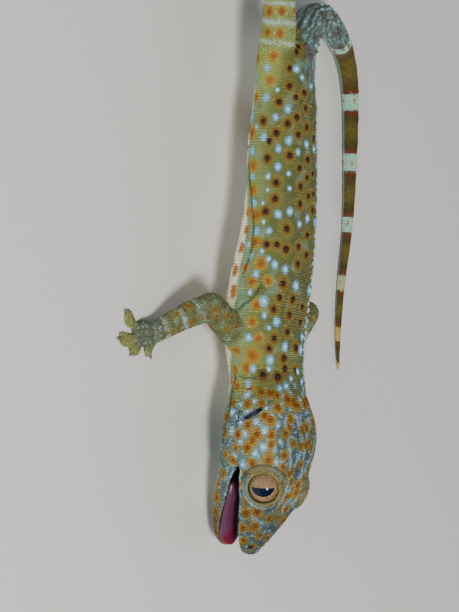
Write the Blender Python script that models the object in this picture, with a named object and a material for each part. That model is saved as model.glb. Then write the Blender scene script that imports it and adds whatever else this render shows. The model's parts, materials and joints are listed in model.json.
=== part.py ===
"""Still, life-size model of a tokay gecko that stands on the floor with its mouth a little open.

The animal faces +X, its left side is +Y and the floor is z = 0. Every size and place below is in
millimetres, and MM turns it into Blender's metres. Each node is one closed body. It meets its
neighbours face to face across GAP. The trunk and tail are swept along one spine, each limb bone has
a tube of its own with rounded ends, and the joints are mitred.
"""

import math

import bmesh
import bpy
from mathutils import Matrix, Vector

MM = 0.001
GAP = 0.3

# Driving sizes of the animal, snout to vent 150 mm
HEAD_BASE = Vector((103.0, -7.6, 0.0))
HEAD_YAW = math.radians(-6.0)
MOUTH_CORNER = 22.0
EYE_RADIUS = 4.9
EYE_CENTRE = Vector((27.9, 7.1, 23.0))
EYE_AXIS = Vector((0.28, 0.84, 0.46)).normalized()
LID_RADIUS = 5.15
LID_THICKNESS = 0.85
LID_FORWARD = 2.5
EAR_CENTRE = Vector((7.4, 13.0, 21.2))
EAR_HALF_SIZES = Vector((3.9, 2.0, 1.0))
EAR_SLANT = math.radians(57.0)
NOSTRIL_CENTRE = Vector((46.1, 3.0, 16.3))
NOSTRIL_RADIUS = 0.6
TUBERCLE_HEIGHT = 0.55

# Spine stations: x, y, z, half width, height above the axis, depth below it
SPINE = (
    (97.4, 56.7, 0.50, 0.55, 0.55, 0.55),
    (91.5, 55.9, 0.85, 0.90, 0.90, 0.90),
    (84.0, 55.7, 1.15, 1.22, 1.18, 1.20),
    (71.4, 56.8, 1.40, 1.50, 1.45, 1.48),
    (52.0, 60.1, 1.80, 1.95, 1.85, 1.92),
    (31.7, 60.9, 2.25, 2.45, 2.30, 2.40),
    (12.7, 60.6, 2.65, 2.85, 2.70, 2.80),
    (3.6, 58.8, 2.95, 3.15, 3.00, 3.10),
    (-3.4, 54.4, 3.75, 3.50, 3.35, 3.45),
    (-8.6, 45.5, 5.90, 4.15, 4.00, 4.00),
    (-11.2, 34.5, 9.00, 4.70, 4.55, 4.45),
    (-9.8, 22.5, 13.2, 5.10, 4.95, 4.85),
    (-4.0, 12.0, 16.4, 5.70, 5.40, 5.30),
    (3.5, 5.6, 17.8, 6.90, 6.30, 6.20),
    (10.5, 2.2, 18.0, 9.00, 7.70, 7.60),
    (18.0, 0.35, 17.9, 10.6, 8.75, 8.20),
    (30.0, -0.45, 17.6, 11.8, 9.15, 8.30),
    (44.0, -1.4, 17.8, 12.2, 9.50, 8.80),
    (57.0, -3.05, 17.6, 13.0, 9.90, 9.30),
    (69.0, -5.1, 17.0, 14.1, 10.25, 10.3),
    (79.0, -6.55, 16.5, 14.2, 10.1, 10.9),
    (88.0, -7.2, 16.6, 13.0, 9.80, 11.2),
    (96.0, -7.3, 17.1, 11.6, 9.60, 11.0),
    (103.0, -7.6, 17.6, 11.6, 10.2, 11.0),
    (112.0, -8.5, 17.8, 14.6, 12.4, 11.2),
)
SPINE_POWER = 2.3

# Where the spine is parted, as numbers of stations, with the points round each ring
SPINE_NODES = (
    ("tail_tip", 0.0, 4.0, 8, 2.6),
    ("tail_middle", 4.0, 7.6, 10, 2.6),
    ("tail_bend", 7.6, 10.4, 12, 2.4),
    ("tail_base", 10.4, 12.7, 14, 2.3),
    ("hips", 12.7, 15.6, 24, 2.3),
    ("torso", 15.6, 22.15, 28, 2.35),
    ("neck", 22.15, 23.25, 28, 2.2),
)

# Head sections: distance from the neck, half width, crown, jaw line, throat
HEAD = (
    (0.0, 11.8, 28.0, 17.6, 6.8),
    (4.0, 13.2, 29.6, 17.7, 6.8),
    (8.5, 14.8, 31.1, 17.8, 6.8),
    (14.0, 15.4, 31.5, 17.9, 6.7),
    (19.0, 14.5, 30.8, 17.8, 6.3),
    (22.0, 13.4, 30.0, 17.6, 5.8),
    (26.0, 12.0, 29.3, 17.2, 5.0),
    (30.0, 10.8, 28.2, 16.7, 5.0),
    (34.5, 9.4, 25.8, 15.9, 5.0),
    (39.3, 7.8, 22.4, 15.0, 5.0),
    (42.6, 6.4, 19.9, 14.2, 5.0),
    (45.2, 5.0, 18.0, 13.6, 5.0),
    (46.7, 3.8, 16.9, 13.5, 5.0),
    (47.6, 2.5, 15.9, 13.7, 5.0),
    (48.0, 1.2, 15.1, 14.2, 5.0),
)
HEAD_RINGS = (
    GAP, 2.6, 5.0, 7.2, 9.4, 11.8, 14.2, 16.6, 19.2, MOUTH_CORNER, 23.6, 25.2, 26.8, 28.4, 30.0,
    31.6, 33.2, 35.0, 37.2, 39.4, 41.4, 43.2, 44.8, 46.2, 47.1, 47.7, 48.0,
)
HEAD_POINTS = 36

# Lower jaw sections: distance from the neck, half width, lip, underside
JAW = (
    (22.3, 12.9, 17.1, 5.8),
    (24.0, 12.3, 15.6, 5.2),
    (26.0, 11.6, 13.6, 4.6),
    (28.5, 10.8, 12.3, 3.8),
    (32.0, 9.7, 11.0, 2.8),
    (35.5, 8.5, 9.4, 2.4),
    (39.0, 7.1, 7.8, 2.4),
    (42.0, 5.6, 6.7, 2.8),
    (44.0, 4.1, 6.3, 3.5),
    (45.2, 2.5, 6.2, 4.3),
    (45.7, 1.2, 6.2, 5.1),
)
JAW_RINGS = (22.3, 23.6, 25.0, 26.6, 28.5, 30.6, 33.0, 35.5, 38.0, 40.4, 42.4, 44.0, 45.1, 45.7)
JAW_POINTS = 24
MOUTH_FLOOR_DEPTH = 2.2

# Tongue sections: distance from the neck, sideways place, half width, top
TONGUE = (
    (24.5, -1.6, 5.6, 12.0),
    (28.0, -2.4, 8.0, 14.4),
    (32.0, -2.4, 7.2, 13.3),
    (36.0, -2.1, 6.3, 11.8),
    (39.5, -1.9, 5.2, 10.6),
    (42.2, -1.8, 4.2, 9.8),
    (44.0, -1.7, 3.0, 9.2),
    (45.2, -1.6, 1.7, 8.5),
)
TONGUE_RINGS = (24.5, 26.0, 28.0, 30.5, 33.0, 35.5, 38.0, 40.0, 41.8, 43.2, 44.4, 45.2)
TONGUE_POINTS = 16

# Limbs. Each joint has a place and half thicknesses across and up. The cut is where the limb
# leaves the trunk: a point and the direction that points out along the limb.
LIMBS = {
    "fore_right": {
        "names": ("upper_arm_right", "forearm_right", "hand_right"),
        "trunk": "torso",
        "root": ((89.0, -9.0, 14.8), 5.4, 5.2),
        "shoulder": ((87.4, -15.5, 14.2), 5.2, 5.0),
        "upper_middle": ((83.0, -22.8, 13.2), 4.5, 4.3),
        "knee": ((77.4, -29.0, 12.2), 4.2, 4.0),
        "lower_middle": ((80.4, -36.7, 8.3), 3.9, 3.3),
        "ankle": ((84.3, -43.2, 3.8), 3.5, 2.3),
        "palm": ((85.2, -47.2, 2.0), 4.0, 2.0),
        "cut": ((86.0, -21.9, 13.6), (-0.12, -0.99, -0.05)),
        "outward": -92.0,
        "digits": ((156.0, 7.4), (122.0, 7.6), (50.0, 7.8), (9.0, 10.9), (-38.0, 9.8)),
    },
    "fore_left": {
        "names": ("upper_arm_left", "forearm_left", "hand_left"),
        "trunk": "torso",
        "root": ((89.0, -6.0, 14.8), 5.4, 5.2),
        "shoulder": ((87.0, 2.0, 14.4), 5.2, 5.0),
        "upper_middle": ((83.4, 11.8, 13.6), 4.4, 4.2),
        "knee": ((79.6, 20.8, 12.6), 3.9, 3.8),
        "lower_middle": ((89.2, 19.0, 8.0), 3.6, 3.1),
        "ankle": ((98.4, 17.2, 4.0), 3.0, 2.2),
        "palm": ((101.8, 16.8, 1.9), 3.3, 1.9),
        "cut": ((86.0, 8.9, 13.6), (-0.12, 0.99, -0.05)),
        "outward": 6.0,
        "digits": ((100.0, 6.8), (58.0, 8.6), (14.0, 9.6), (-32.0, 10.6), (-80.0, 10.0)),
    },
    "hind_right": {
        "names": ("thigh_right", "shank_right", "foot_right"),
        "trunk": "hips",
        "root": ((16.0, -3.0, 17.0), 6.9, 6.4),
        "shoulder": ((5.6, -4.5, 17.9), 5.9, 5.7),
        "upper_middle": ((-6.0, -5.4, 19.9), 5.4, 5.2),
        "knee": ((-18.2, -6.4, 20.6), 4.4, 4.3),
        "lower_middle": ((-22.2, -12.4, 13.0), 4.2, 3.9),
        "ankle": ((-26.4, -19.4, 4.8), 3.0, 2.4),
        "palm": ((-28.2, -23.4, 2.0), 3.6, 2.0),
        "cut": ((-0.6, -5.2, 18.8), (-0.985, -0.05, 0.165)),
        "outward": -112.0,
        "digits": ((-120.0, 7.6), (-80.0, 9.8), (-38.0, 11.2), (4.0, 12.2), (52.0, 11.2)),
    },
    "hind_left": {
        "names": ("thigh_left", "shank_left", "foot_left"),
        "trunk": "hips",
        "root": ((11.0, 2.0, 16.4), 6.0, 5.6),
        "shoulder": ((15.0, 8.6, 14.8), 5.8, 5.4),
        "upper_middle": ((22.0, 16.2, 12.2), 5.0, 4.8),
        "knee": ((29.4, 23.4, 9.4), 4.1, 4.0),
        "lower_middle": ((22.4, 26.4, 7.0), 3.8, 3.5),
        "ankle": ((15.8, 29.4, 4.0), 2.9, 2.2),
        "palm": ((12.8, 31.0, 2.0), 3.5, 2.0),
        "cut": ((19.4, 13.6, 13.3), (0.55, 0.82, -0.14)),
        "outward": 160.0,
        "digits": ((-128.0, 7.0), (-86.0, 9.0), (-42.0, 10.6), (4.0, 11.2), (52.0, 9.6)),
    },
}
LIMB_POINTS = 14
LIMB_STEP = 2.6
DOME_ANGLES = (25.0, 50.0, 72.0)

# A digit from its root to its tip: share of the length, half width, height
DIGIT = (
    (0.00, 1.60, 2.20),
    (0.30, 1.30, 2.05),
    (0.46, 1.45, 1.80),
    (0.60, 2.15, 1.50),
    (0.78, 2.50, 1.30),
    (0.92, 2.20, 1.10),
    (1.00, 1.30, 0.85),
)
DIGIT_CURL = 0.10
CLAW_LENGTH = 1.2
CLAW_RADIUS = 0.34
SOLE_DEPTH = 0.5


def clear_scene():
    for obj in list(bpy.data.objects):
        bpy.data.objects.remove(obj, do_unlink=True)


def make_material(name, colour, roughness):
    material = bpy.data.materials.new(name)
    material.use_nodes = True
    shader = material.node_tree.nodes["Principled BSDF"]
    shader.inputs["Base Color"].default_value = (*colour, 1.0)
    shader.inputs["Roughness"].default_value = roughness
    shader.inputs["Metallic"].default_value = 0.0
    return material


def between(rows, place):
    """Values of a table at a place, by a smooth curve through its rows."""
    last = len(rows) - 1
    index = 0
    while index < last - 1 and place > rows[index + 1][0]:
        index += 1
    x0, x1 = rows[index][0], rows[index + 1][0]
    share = min(1.0, max(0.0, (place - x0) / (x1 - x0)))
    found = []
    for column in range(1, len(rows[0])):
        here, there = rows[index][column], rows[index + 1][column]
        before = rows[max(index - 1, 0)]
        after = rows[min(index + 2, last)]
        rise_here = (there - before[column]) / (x1 - before[0]) * (x1 - x0)
        rise_there = (after[column] - here) / (after[0] - x0) * (x1 - x0)
        found.append(hermite(here, there, rise_here, rise_there, share))
    return found


def hermite(a, b, slope_a, slope_b, share):
    s2, s3 = share * share, share**3
    return (
        (2 * s3 - 3 * s2 + 1) * a
        + (s3 - 2 * s2 + share) * slope_a
        + (3 * s2 - 2 * s3) * b
        + (s3 - s2) * slope_b
    )


def spread(value, power):
    """A cosine or sine bent towards the corner of a rounded box, for a power over 2."""
    return math.copysign(abs(value) ** (2.0 / power), value)


def section(centre, tangent, sizes, count, power=2.0):
    """A ring of points round the centre. The sizes are half width, height and depth."""
    tangent = tangent.normalized()
    side = Vector((0.0, 0.0, 1.0)).cross(tangent).normalized()
    up = tangent.cross(side)
    width, top, bottom = sizes
    ring = []
    for k in range(count):
        angle = 2 * math.pi * k / count
        across = spread(math.cos(angle), power) * width
        rise = spread(math.sin(angle), power)
        ring.append(centre + side * across + up * rise * (top if rise > 0 else bottom))
    return ring


def mesh_of_rings(rings, shared=None):
    """A closed bmesh through rings of points, with flat ends.

    shared gives (ring, first, last): from that ring to the next the points outside first to last
    stay the same, which turns the step between them into a flat wall.
    """
    bm = bmesh.new()
    rows = []
    for number, ring in enumerate(rings):
        row = []
        for k, point in enumerate(ring):
            if shared and number == shared[0] + 1 and not shared[1] < k < shared[2]:
                row.append(rows[-1][k])
            else:
                row.append(bm.verts.new(point * MM))
        rows.append(row)
    for a, b in zip(rows, rows[1:]):
        for k in range(len(a)):
            corners = [a[k], a[k - 1], b[k - 1], b[k]]
            unique = [v for n, v in enumerate(corners) if v is not corners[n - 1]]
            if len(unique) > 2:
                bm.faces.new(unique)
    bm.faces.new(rows[0])
    bm.faces.new(list(reversed(rows[-1])))
    bmesh.ops.recalc_face_normals(bm, faces=bm.faces)
    return bm


def slice_off(bm, point, normal):
    """Removes what lies on the side that the normal points to, and closes the cut."""
    cut = bmesh.ops.bisect_plane(
        bm,
        geom=bm.verts[:] + bm.edges[:] + bm.faces[:],
        dist=1e-7,
        plane_co=Vector(point) * MM,
        plane_no=Vector(normal).normalized(),
        clear_outer=True,
    )
    edges = [e for e in cut["geom_cut"] if isinstance(e, bmesh.types.BMEdge)]
    bmesh.ops.holes_fill(bm, edges=edges)
    bmesh.ops.recalc_face_normals(bm, faces=bm.faces)


def object_of(name, bm, material=None):
    mesh = bpy.data.meshes.new(name)
    bm.to_mesh(mesh)
    bm.free()
    mesh.shade_smooth()
    mesh.set_sharp_from_angle(angle=math.radians(40.0))
    if material:
        mesh.materials.append(material)
    obj = bpy.data.objects.new(name, mesh)
    bpy.context.scene.collection.objects.link(obj)
    return obj


def apply_boolean(obj, others, operation):
    """Joins the others to the object, or cuts them from it, and removes them."""
    group = bpy.data.collections.new("pieces")
    bpy.context.scene.collection.children.link(group)
    for other in others:
        bpy.context.scene.collection.objects.unlink(other)
        group.objects.link(other)
    boolean = obj.modifiers.new("boolean", "BOOLEAN")
    boolean.operation = operation
    boolean.operand_type = "COLLECTION"
    boolean.collection = group
    boolean.solver = "EXACT"
    with bpy.context.temp_override(object=obj, active_object=obj, selected_objects=[obj]):
        bpy.ops.object.modifier_apply(modifier=boolean.name)
    for other in others:
        bpy.data.objects.remove(other, do_unlink=True)
    bpy.data.collections.remove(group)
    keep_largest(obj)


def keep_largest(obj):
    """Keeps the largest closed surface of the object, and drops any loose scrap."""
    bm = bmesh.new()
    bm.from_mesh(obj.data)
    bmesh.ops.remove_doubles(bm, verts=bm.verts, dist=2e-6)
    left = set(bm.verts)
    islands = []
    while left:
        island, edge = set(), [left.pop()]
        while edge:
            vert = edge.pop()
            island.add(vert)
            for linked in vert.link_edges:
                other = linked.other_vert(vert)
                if other in left:
                    left.discard(other)
                    edge.append(other)
        islands.append(island)
    islands.sort(key=len, reverse=True)
    for island in islands[1:]:
        bmesh.ops.delete(bm, geom=list(island), context="VERTS")
    bm.to_mesh(obj.data)
    bm.free()


class Spine:
    """A smooth line through stations, with the sizes of the section at each."""

    def __init__(self, stations):
        self.rows = [(float(n), *station) for n, station in enumerate(stations)]

    def centre(self, t):
        return Vector(between(self.rows, t)[:3])

    def sizes(self, t):
        return between(self.rows, t)[3:]

    def tangent(self, t):
        last = self.rows[-1][0]
        return (self.centre(min(t + 0.02, last)) - self.centre(max(t - 0.02, 0.0))).normalized()

    def steps(self, start, end, step):
        """Places from start to end that lie about one step of length apart."""
        fine = [start + (end - start) * n / 200 for n in range(201)]
        run = [0.0]
        for a, b in zip(fine, fine[1:]):
            run.append(run[-1] + (self.centre(b) - self.centre(a)).length)
        count = max(2, round(run[-1] / step))
        places, k = [], 0
        for n in range(count + 1):
            wanted = run[-1] * n / count
            while k < 199 and run[k + 1] < wanted:
                k += 1
            share = (wanted - run[k]) / max(run[k + 1] - run[k], 1e-9)
            places.append(fine[k] + (fine[k + 1] - fine[k]) * share)
        return places

    def ring(self, t, count, power, forward=0.0):
        tangent = self.tangent(t)
        return section(self.centre(t) + tangent * forward, tangent, self.sizes(t), count, power)


def raise_tubercles(bm, rows, count, first, last, height):
    """Lifts every third face of the back to a low point, in rows that stand half a step apart."""
    bm.faces.ensure_lookup_table()
    chosen = []
    for row in range(1, rows - 1):
        for k in range(first, last + 1):
            if (k + 2 * row) % 3 == 0:
                chosen.append(bm.faces[row * count + k])
    bmesh.ops.poke(bm, faces=chosen, offset=height * MM, center_mode="MEAN")


def make_spine_nodes(materials):
    """Torso, neck, hips and the four lengths of the tail, parted by thin cuts."""
    spine = Spine(SPINE)
    made = {}
    for name, start, end, count, step in SPINE_NODES:
        places = spine.steps(start, end, step)
        rings = []
        for n, t in enumerate(places):
            forward = GAP / 2 if n == 0 and start > 0 else 0.0
            forward = -GAP / 2 if n == len(places) - 1 else forward
            rings.append(spine.ring(t, count, SPINE_POWER, forward))
        bm = mesh_of_rings(rings)
        low, high = round(count * 0.06), round(count * 0.44)
        if name != "tail_tip":
            height = TUBERCLE_HEIGHT * (0.7 if name.startswith("tail") else 1.0)
            raise_tubercles(bm, len(places) - 1, count, low, high, height)
        if name.startswith("tail"):
            slice_off(bm, (0.0, 0.0, 0.0), (0.0, 0.0, -1.0))
        if name == "neck":
            slice_off(bm, head_place((0.0, 0.0, 0.0)), head_direction((1.0, 0.0, 0.0)))
        slot = "tail" if name.startswith("tail") else "back"
        made[name] = object_of(name, bm, materials[slot])
    return made


def head_place(point):
    """A point of the head's own frame, in the animal's frame."""
    turned = Matrix.Rotation(HEAD_YAW, 3, "Z") @ Vector((point[0], point[1], 0.0))
    return HEAD_BASE + turned + Vector((0.0, 0.0, point[2]))


def head_direction(vector):
    return Matrix.Rotation(HEAD_YAW, 3, "Z") @ Vector(vector)


def bump(place, centre, radius):
    """One at the centre, falling to nothing at about two radii."""
    return math.exp(-((place - centre) / radius) ** 2)


def head_ring(place, mouth_open):
    """A ring of the head. It runs from the left lip over the crown to the right lip and back."""
    width, crown, jaw, throat = between(HEAD, place)
    power = 2.35 + 0.55 * bump(place, 31.0, 8.0)
    points = []
    for k in range(HEAD_POINTS):
        angle = 2 * math.pi * k / HEAD_POINTS
        across = spread(math.cos(angle), power)
        rise = spread(math.sin(angle), power)
        if k <= HEAD_POINTS // 2:
            y = width * across
            z = jaw + (crown - jaw) * rise
            brow = bump(place, 28.5, 4.5) * bump(abs(y), 7.0, 3.0) * max(rise, 0.0)
            valley = bump(place, 33.0, 8.0) * bump(y, 0.0, 3.0) * max(rise, 0.0)
            canthus = bump(place, 38.5, 4.5) * bump(abs(y), 4.6, 1.6) * max(rise, 0.0)
            lip = bump(z, jaw + 0.9, 0.9) * min(1.0, max(0.0, place - 18.0) / 5.0)
            y += math.copysign(0.35 * lip + 0.3 * brow, y)
            z += 0.9 * brow - 0.9 * valley + 0.35 * canthus
        elif mouth_open:
            y = width * 0.94 * math.cos(angle)
            z = jaw + min(1.5, 0.22 * (crown - jaw)) * abs(math.sin(angle))
        else:
            y = width * across
            z = jaw + (jaw - throat) * rise
        points.append(head_place((place, y, z)))
    return points


def ball(name, centre, radius, axis, segments, rings):
    bm = bmesh.new()
    turn = Vector((0.0, 0.0, 1.0)).rotation_difference(axis).to_matrix().to_4x4()
    bmesh.ops.create_uvsphere(
        bm,
        u_segments=segments,
        v_segments=rings,
        radius=radius * MM,
        matrix=Matrix.Translation(centre * MM) @ turn,
    )
    return object_of(name, bm)


def ring_round(name, centre, axis, radius, thickness, around, across):
    """A closed ring of round section, as the fold of skin round an eye."""
    turn = Vector((0.0, 0.0, 1.0)).rotation_difference(axis).to_matrix()
    bm = bmesh.new()
    rows = []
    for n in range(around):
        angle = 2 * math.pi * n / around
        out = Vector((math.cos(angle), math.sin(angle), 0.0))
        row = []
        for k in range(across):
            tilt = 2 * math.pi * k / across
            local = out * (radius + thickness * math.cos(tilt))
            local.z = thickness * math.sin(tilt)
            row.append(bm.verts.new((centre + turn @ local) * MM))
        rows.append(row)
    for n in range(around):
        for k in range(across):
            bm.faces.new([rows[n][k], rows[n][k - 1], rows[n - 1][k - 1], rows[n - 1][k]])
    bmesh.ops.recalc_face_normals(bm, faces=bm.faces)
    return object_of(name, bm)


def ellipsoid(name, centre, half_sizes, turn, segments, rings):
    bm = bmesh.new()
    scale = Matrix.Diagonal((half_sizes.x * MM, half_sizes.y * MM, half_sizes.z * MM, 1.0))
    bmesh.ops.create_uvsphere(
        bm,
        u_segments=segments,
        v_segments=rings,
        radius=1.0,
        matrix=Matrix.Translation(centre * MM) @ turn.to_4x4() @ scale,
    )
    return object_of(name, bm)


def mirrored(vector, side):
    return Vector((vector[0], vector[1] * side, vector[2]))


def make_head(materials):
    """Skull and upper jaw in one body, with the eye sockets, lids, ears and nostrils."""
    rings = []
    wall = HEAD_RINGS.index(MOUTH_CORNER)
    for place in HEAD_RINGS[: wall + 1]:
        rings.append(head_ring(place, False))
    for place in HEAD_RINGS[wall:]:
        rings.append(head_ring(place, True))
    bm = mesh_of_rings(rings, shared=(wall, HEAD_POINTS // 2, HEAD_POINTS))
    head = object_of("head", bm, materials["head"])
    lids, sockets, hollows = [], [], []
    for side, label in ((-1.0, "right"), (1.0, "left")):
        eye = head_place(mirrored(EYE_CENTRE, side))
        axis = head_direction(mirrored(EYE_AXIS, side))
        lid_centre = eye + axis * LID_FORWARD
        lids.append(
            ring_round("lid_" + label, lid_centre, axis, LID_RADIUS, LID_THICKNESS, 24, 8)
        )
        sockets.append(ball("socket_" + label, eye, EYE_RADIUS + GAP, axis, 24, 14))
        ear_turn = Matrix.Rotation(HEAD_YAW, 3, "Z") @ Matrix.Rotation(EAR_SLANT, 3, "Y")
        ear = head_place(mirrored(EAR_CENTRE, side))
        hollows.append(ellipsoid("ear_" + label, ear, EAR_HALF_SIZES, ear_turn, 14, 8))
        nostril = head_place(mirrored(NOSTRIL_CENTRE, side))
        hollows.append(ball("nostril_" + label, nostril, NOSTRIL_RADIUS, axis, 8, 6))
    apply_boolean(head, lids, "UNION")
    apply_boolean(head, sockets + hollows, "DIFFERENCE")
    return head


def make_eyes(materials):
    for side, label in ((-1.0, "right"), (1.0, "left")):
        eye = head_place(mirrored(EYE_CENTRE, side))
        axis = head_direction(mirrored(EYE_AXIS, side))
        obj = ball("eye_" + label, eye, EYE_RADIUS, axis, 18, 12)
        obj.data.materials.append(materials["eye"])


def mouth_floor(place, y):
    """Height of the floor of the mouth, which dips between the rims of the lower jaw."""
    width, lip, under = between(JAW, place)
    depth = min(MOUTH_FLOOR_DEPTH, max(0.2, 0.5 * (lip - under - 1.2)))
    return lip - depth * max(0.0, 1.0 - (y / width) ** 2)


def make_jaw(materials):
    """The lower jaw, dropped open. Its rear face meets the wall below the corner of the mouth."""
    rings = []
    for place in JAW_RINGS:
        width, lip, under = between(JAW, place)
        ring = []
        for k in range(JAW_POINTS):
            angle = 2 * math.pi * k / JAW_POINTS
            if 0 < k < JAW_POINTS // 2:
                y = width * math.cos(angle)
                z = mouth_floor(place, y)
            else:
                y = width * spread(math.cos(angle), 2.3)
                z = lip + (lip - under) * spread(math.sin(angle), 2.3)
            ring.append(head_place((place, y, z)))
        rings.append(ring)
    object_of("lower_jaw", mesh_of_rings(rings), materials["head"])


def make_tongue(materials):
    """The fleshy tongue, which lies on the floor of the mouth with its tip at the lip."""
    rings = []
    for place in TONGUE_RINGS:
        offset, width, top = between(TONGUE, place)
        ring = []
        for k in range(TONGUE_POINTS):
            angle = 2 * math.pi * k / TONGUE_POINTS
            y = offset + width * spread(math.cos(angle), 2.2)
            floor = mouth_floor(min(place, JAW_RINGS[-1]), y) + GAP + 0.1
            widest = floor + 0.25 * (top - floor)
            rise = spread(math.sin(angle), 2.2)
            z = widest + rise * ((top - widest) if rise > 0 else (widest - floor))
            ring.append(head_place((place, y, z)))
        rings.append(ring)
    object_of("tongue", mesh_of_rings(rings), materials["tongue"])


def bone_rings(stations):
    """Rings along one limb bone, with a dome at either end."""
    spine = Spine([(*point, width, height, height) for point, width, height in stations])
    last = float(len(stations) - 1)
    places = spine.steps(0.0, last, LIMB_STEP)
    rings = []
    for end, sign in ((0.0, -1.0), (last, 1.0)):
        tangent = spine.tangent(end)
        sizes = spine.sizes(end)
        reach = 0.5 * (sizes[0] + sizes[1])
        dome = []
        for degrees in DOME_ANGLES:
            angle = math.radians(degrees)
            centre = spine.centre(end) + tangent * sign * reach * math.sin(angle)
            shrunk = [size * math.cos(angle) for size in sizes]
            dome.append(section(centre, tangent, shrunk, LIMB_POINTS))
        if sign < 0:
            rings.extend(reversed(dome))
            rings.extend(spine.ring(t, LIMB_POINTS, 2.0) for t in places)
        else:
            rings.extend(dome)
    return rings


def digit_bm(root, direction, length, number):
    """One toe: a flattened tube that widens to a pad, with its underside below the floor."""
    side = Vector((-direction.y, direction.x, 0.0))
    rings = []
    for share, width, height in DIGIT:
        bend = side * math.sin(share * math.pi) * DIGIT_CURL * length
        centre = root + direction * length * share + bend
        under = -SOLE_DEPTH - 0.04 * number
        ring = [centre + side * width + Vector((0.0, 0.0, under))]
        for degrees in (0.0, 40.0, 75.0, 105.0, 140.0, 180.0):
            angle = math.radians(degrees)
            across = side * width * math.cos(angle)
            rise = Vector((0.0, 0.0, 0.15 * height + 0.85 * height * math.sin(angle)))
            ring.append(centre + across + rise)
        ring.append(centre - side * width + Vector((0.0, 0.0, under)))
        rings.append(ring)
    return mesh_of_rings(rings)


def claw_bm(tip, direction):
    """A small hooked claw that leaves the top of the pad and points out and down."""
    side = Vector((-direction.y, direction.x, 0.0))
    rings = []
    for share, radius in ((-0.5, 1.0), (0.3, 0.9), (0.7, 0.6), (1.0, 0.25)):
        drop = 0.62 - 0.40 * max(share, 0.0) ** 2
        centre = tip + direction * CLAW_LENGTH * share + Vector((0.0, 0.0, drop))
        ring = []
        for k in range(5):
            angle = 2 * math.pi * k / 5
            spoke = side * math.cos(angle) + Vector((0.0, 0.0, math.sin(angle)))
            ring.append(centre + spoke * CLAW_RADIUS * radius)
        rings.append(ring)
    return mesh_of_rings(rings)


def palm_bm(centre, width, height, heading):
    """The palm, a low dome whose underside lies below the floor."""
    bm = bmesh.new()
    turn = Matrix.Rotation(heading, 4, "Z")
    scale = Matrix.Diagonal((width * 1.1 * MM, width * MM, height * 1.35 * MM, 1.0))
    low = Vector((centre.x, centre.y, 0.4)) * MM
    bmesh.ops.create_uvsphere(
        bm, u_segments=14, v_segments=10, radius=1.0, matrix=Matrix.Translation(low) @ turn @ scale
    )
    return bm


def make_foot(name, limb, wrist_piece, material):
    """Palm, five digits and claws, cut level with the floor."""
    point, width, height = limb["palm"]
    centre = Vector(point)
    heading = math.radians(limb["outward"])
    root = Vector((centre.x, centre.y, 0.0))
    pieces = [object_of("palm", palm_bm(centre, width, height, heading))]
    for number, (turn, length) in enumerate(limb["digits"]):
        angle = heading + math.radians(turn)
        direction = Vector((math.cos(angle), math.sin(angle), 0.0))
        pieces.append(object_of("digit", digit_bm(root, direction, length, number)))
        if number > 0:
            tip = root + direction * length
            pieces.append(object_of("claw", claw_bm(tip, direction)))
    foot = object_of(name, wrist_piece, material)
    apply_boolean(foot, pieces, "UNION")
    bm = bmesh.new()
    bm.from_mesh(foot.data)
    slice_off(bm, (0.0, 0.0, 0.0), (0.0, 0.0, -1.0))
    bm.to_mesh(foot.data)
    bm.free()
    keep_largest(foot)


def mitre(first, joint, second):
    """Direction of the plane that halves the bend at a joint."""
    into = (Vector(joint) - Vector(first)).normalized()
    out = (Vector(second) - Vector(joint)).normalized()
    return (into + out).normalized()


def make_limb(limb, trunk, materials):
    """Two bones and a foot, with the root of the first joined to the trunk."""
    upper_name, lower_name, foot_name = limb["names"]
    upper = [limb[key] for key in ("root", "shoulder", "upper_middle", "knee")]
    lower = [limb[key] for key in ("knee", "lower_middle", "ankle", "palm")]
    half = GAP / 2

    cut_point, cut_way = Vector(limb["cut"][0]), Vector(limb["cut"][1]).normalized()
    stub = mesh_of_rings(bone_rings(upper))
    slice_off(stub, cut_point - cut_way * half, cut_way)
    apply_boolean(trunk, [object_of("stub", stub)], "UNION")

    knee = Vector(limb["knee"][0])
    bend = mitre(limb["upper_middle"][0], knee, limb["lower_middle"][0])
    upper_bm = mesh_of_rings(bone_rings(upper))
    slice_off(upper_bm, cut_point + cut_way * half, -cut_way)
    slice_off(upper_bm, knee - bend * half, bend)
    object_of(upper_name, upper_bm, materials["limb"])

    ankle = Vector(limb["ankle"][0])
    wrist_way = mitre(limb["lower_middle"][0], ankle, limb["palm"][0])
    lower_bm = mesh_of_rings(bone_rings(lower))
    slice_off(lower_bm, knee + bend * half, -bend)
    slice_off(lower_bm, ankle - wrist_way * half, wrist_way)
    object_of(lower_name, lower_bm, materials["limb"])

    wrist_bm = mesh_of_rings(bone_rings(lower))
    slice_off(wrist_bm, ankle + wrist_way * half, -wrist_way)
    make_foot(foot_name, limb, wrist_bm, materials["limb"])


def centre_over_origin():
    """Moves the whole animal so that the origin is the middle of its underside."""
    objects = [obj for obj in bpy.context.scene.objects if obj.type == "MESH"]
    points = [v.co for obj in objects for v in obj.data.vertices]
    middle = Vector(
        (
            (min(p.x for p in points) + max(p.x for p in points)) / 2,
            (min(p.y for p in points) + max(p.y for p in points)) / 2,
            0.0,
        )
    )
    for obj in objects:
        obj.data.transform(Matrix.Translation(-middle))
    print("the shift of the origin, in mm:", [round(v / MM, 4) for v in middle])


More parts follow.
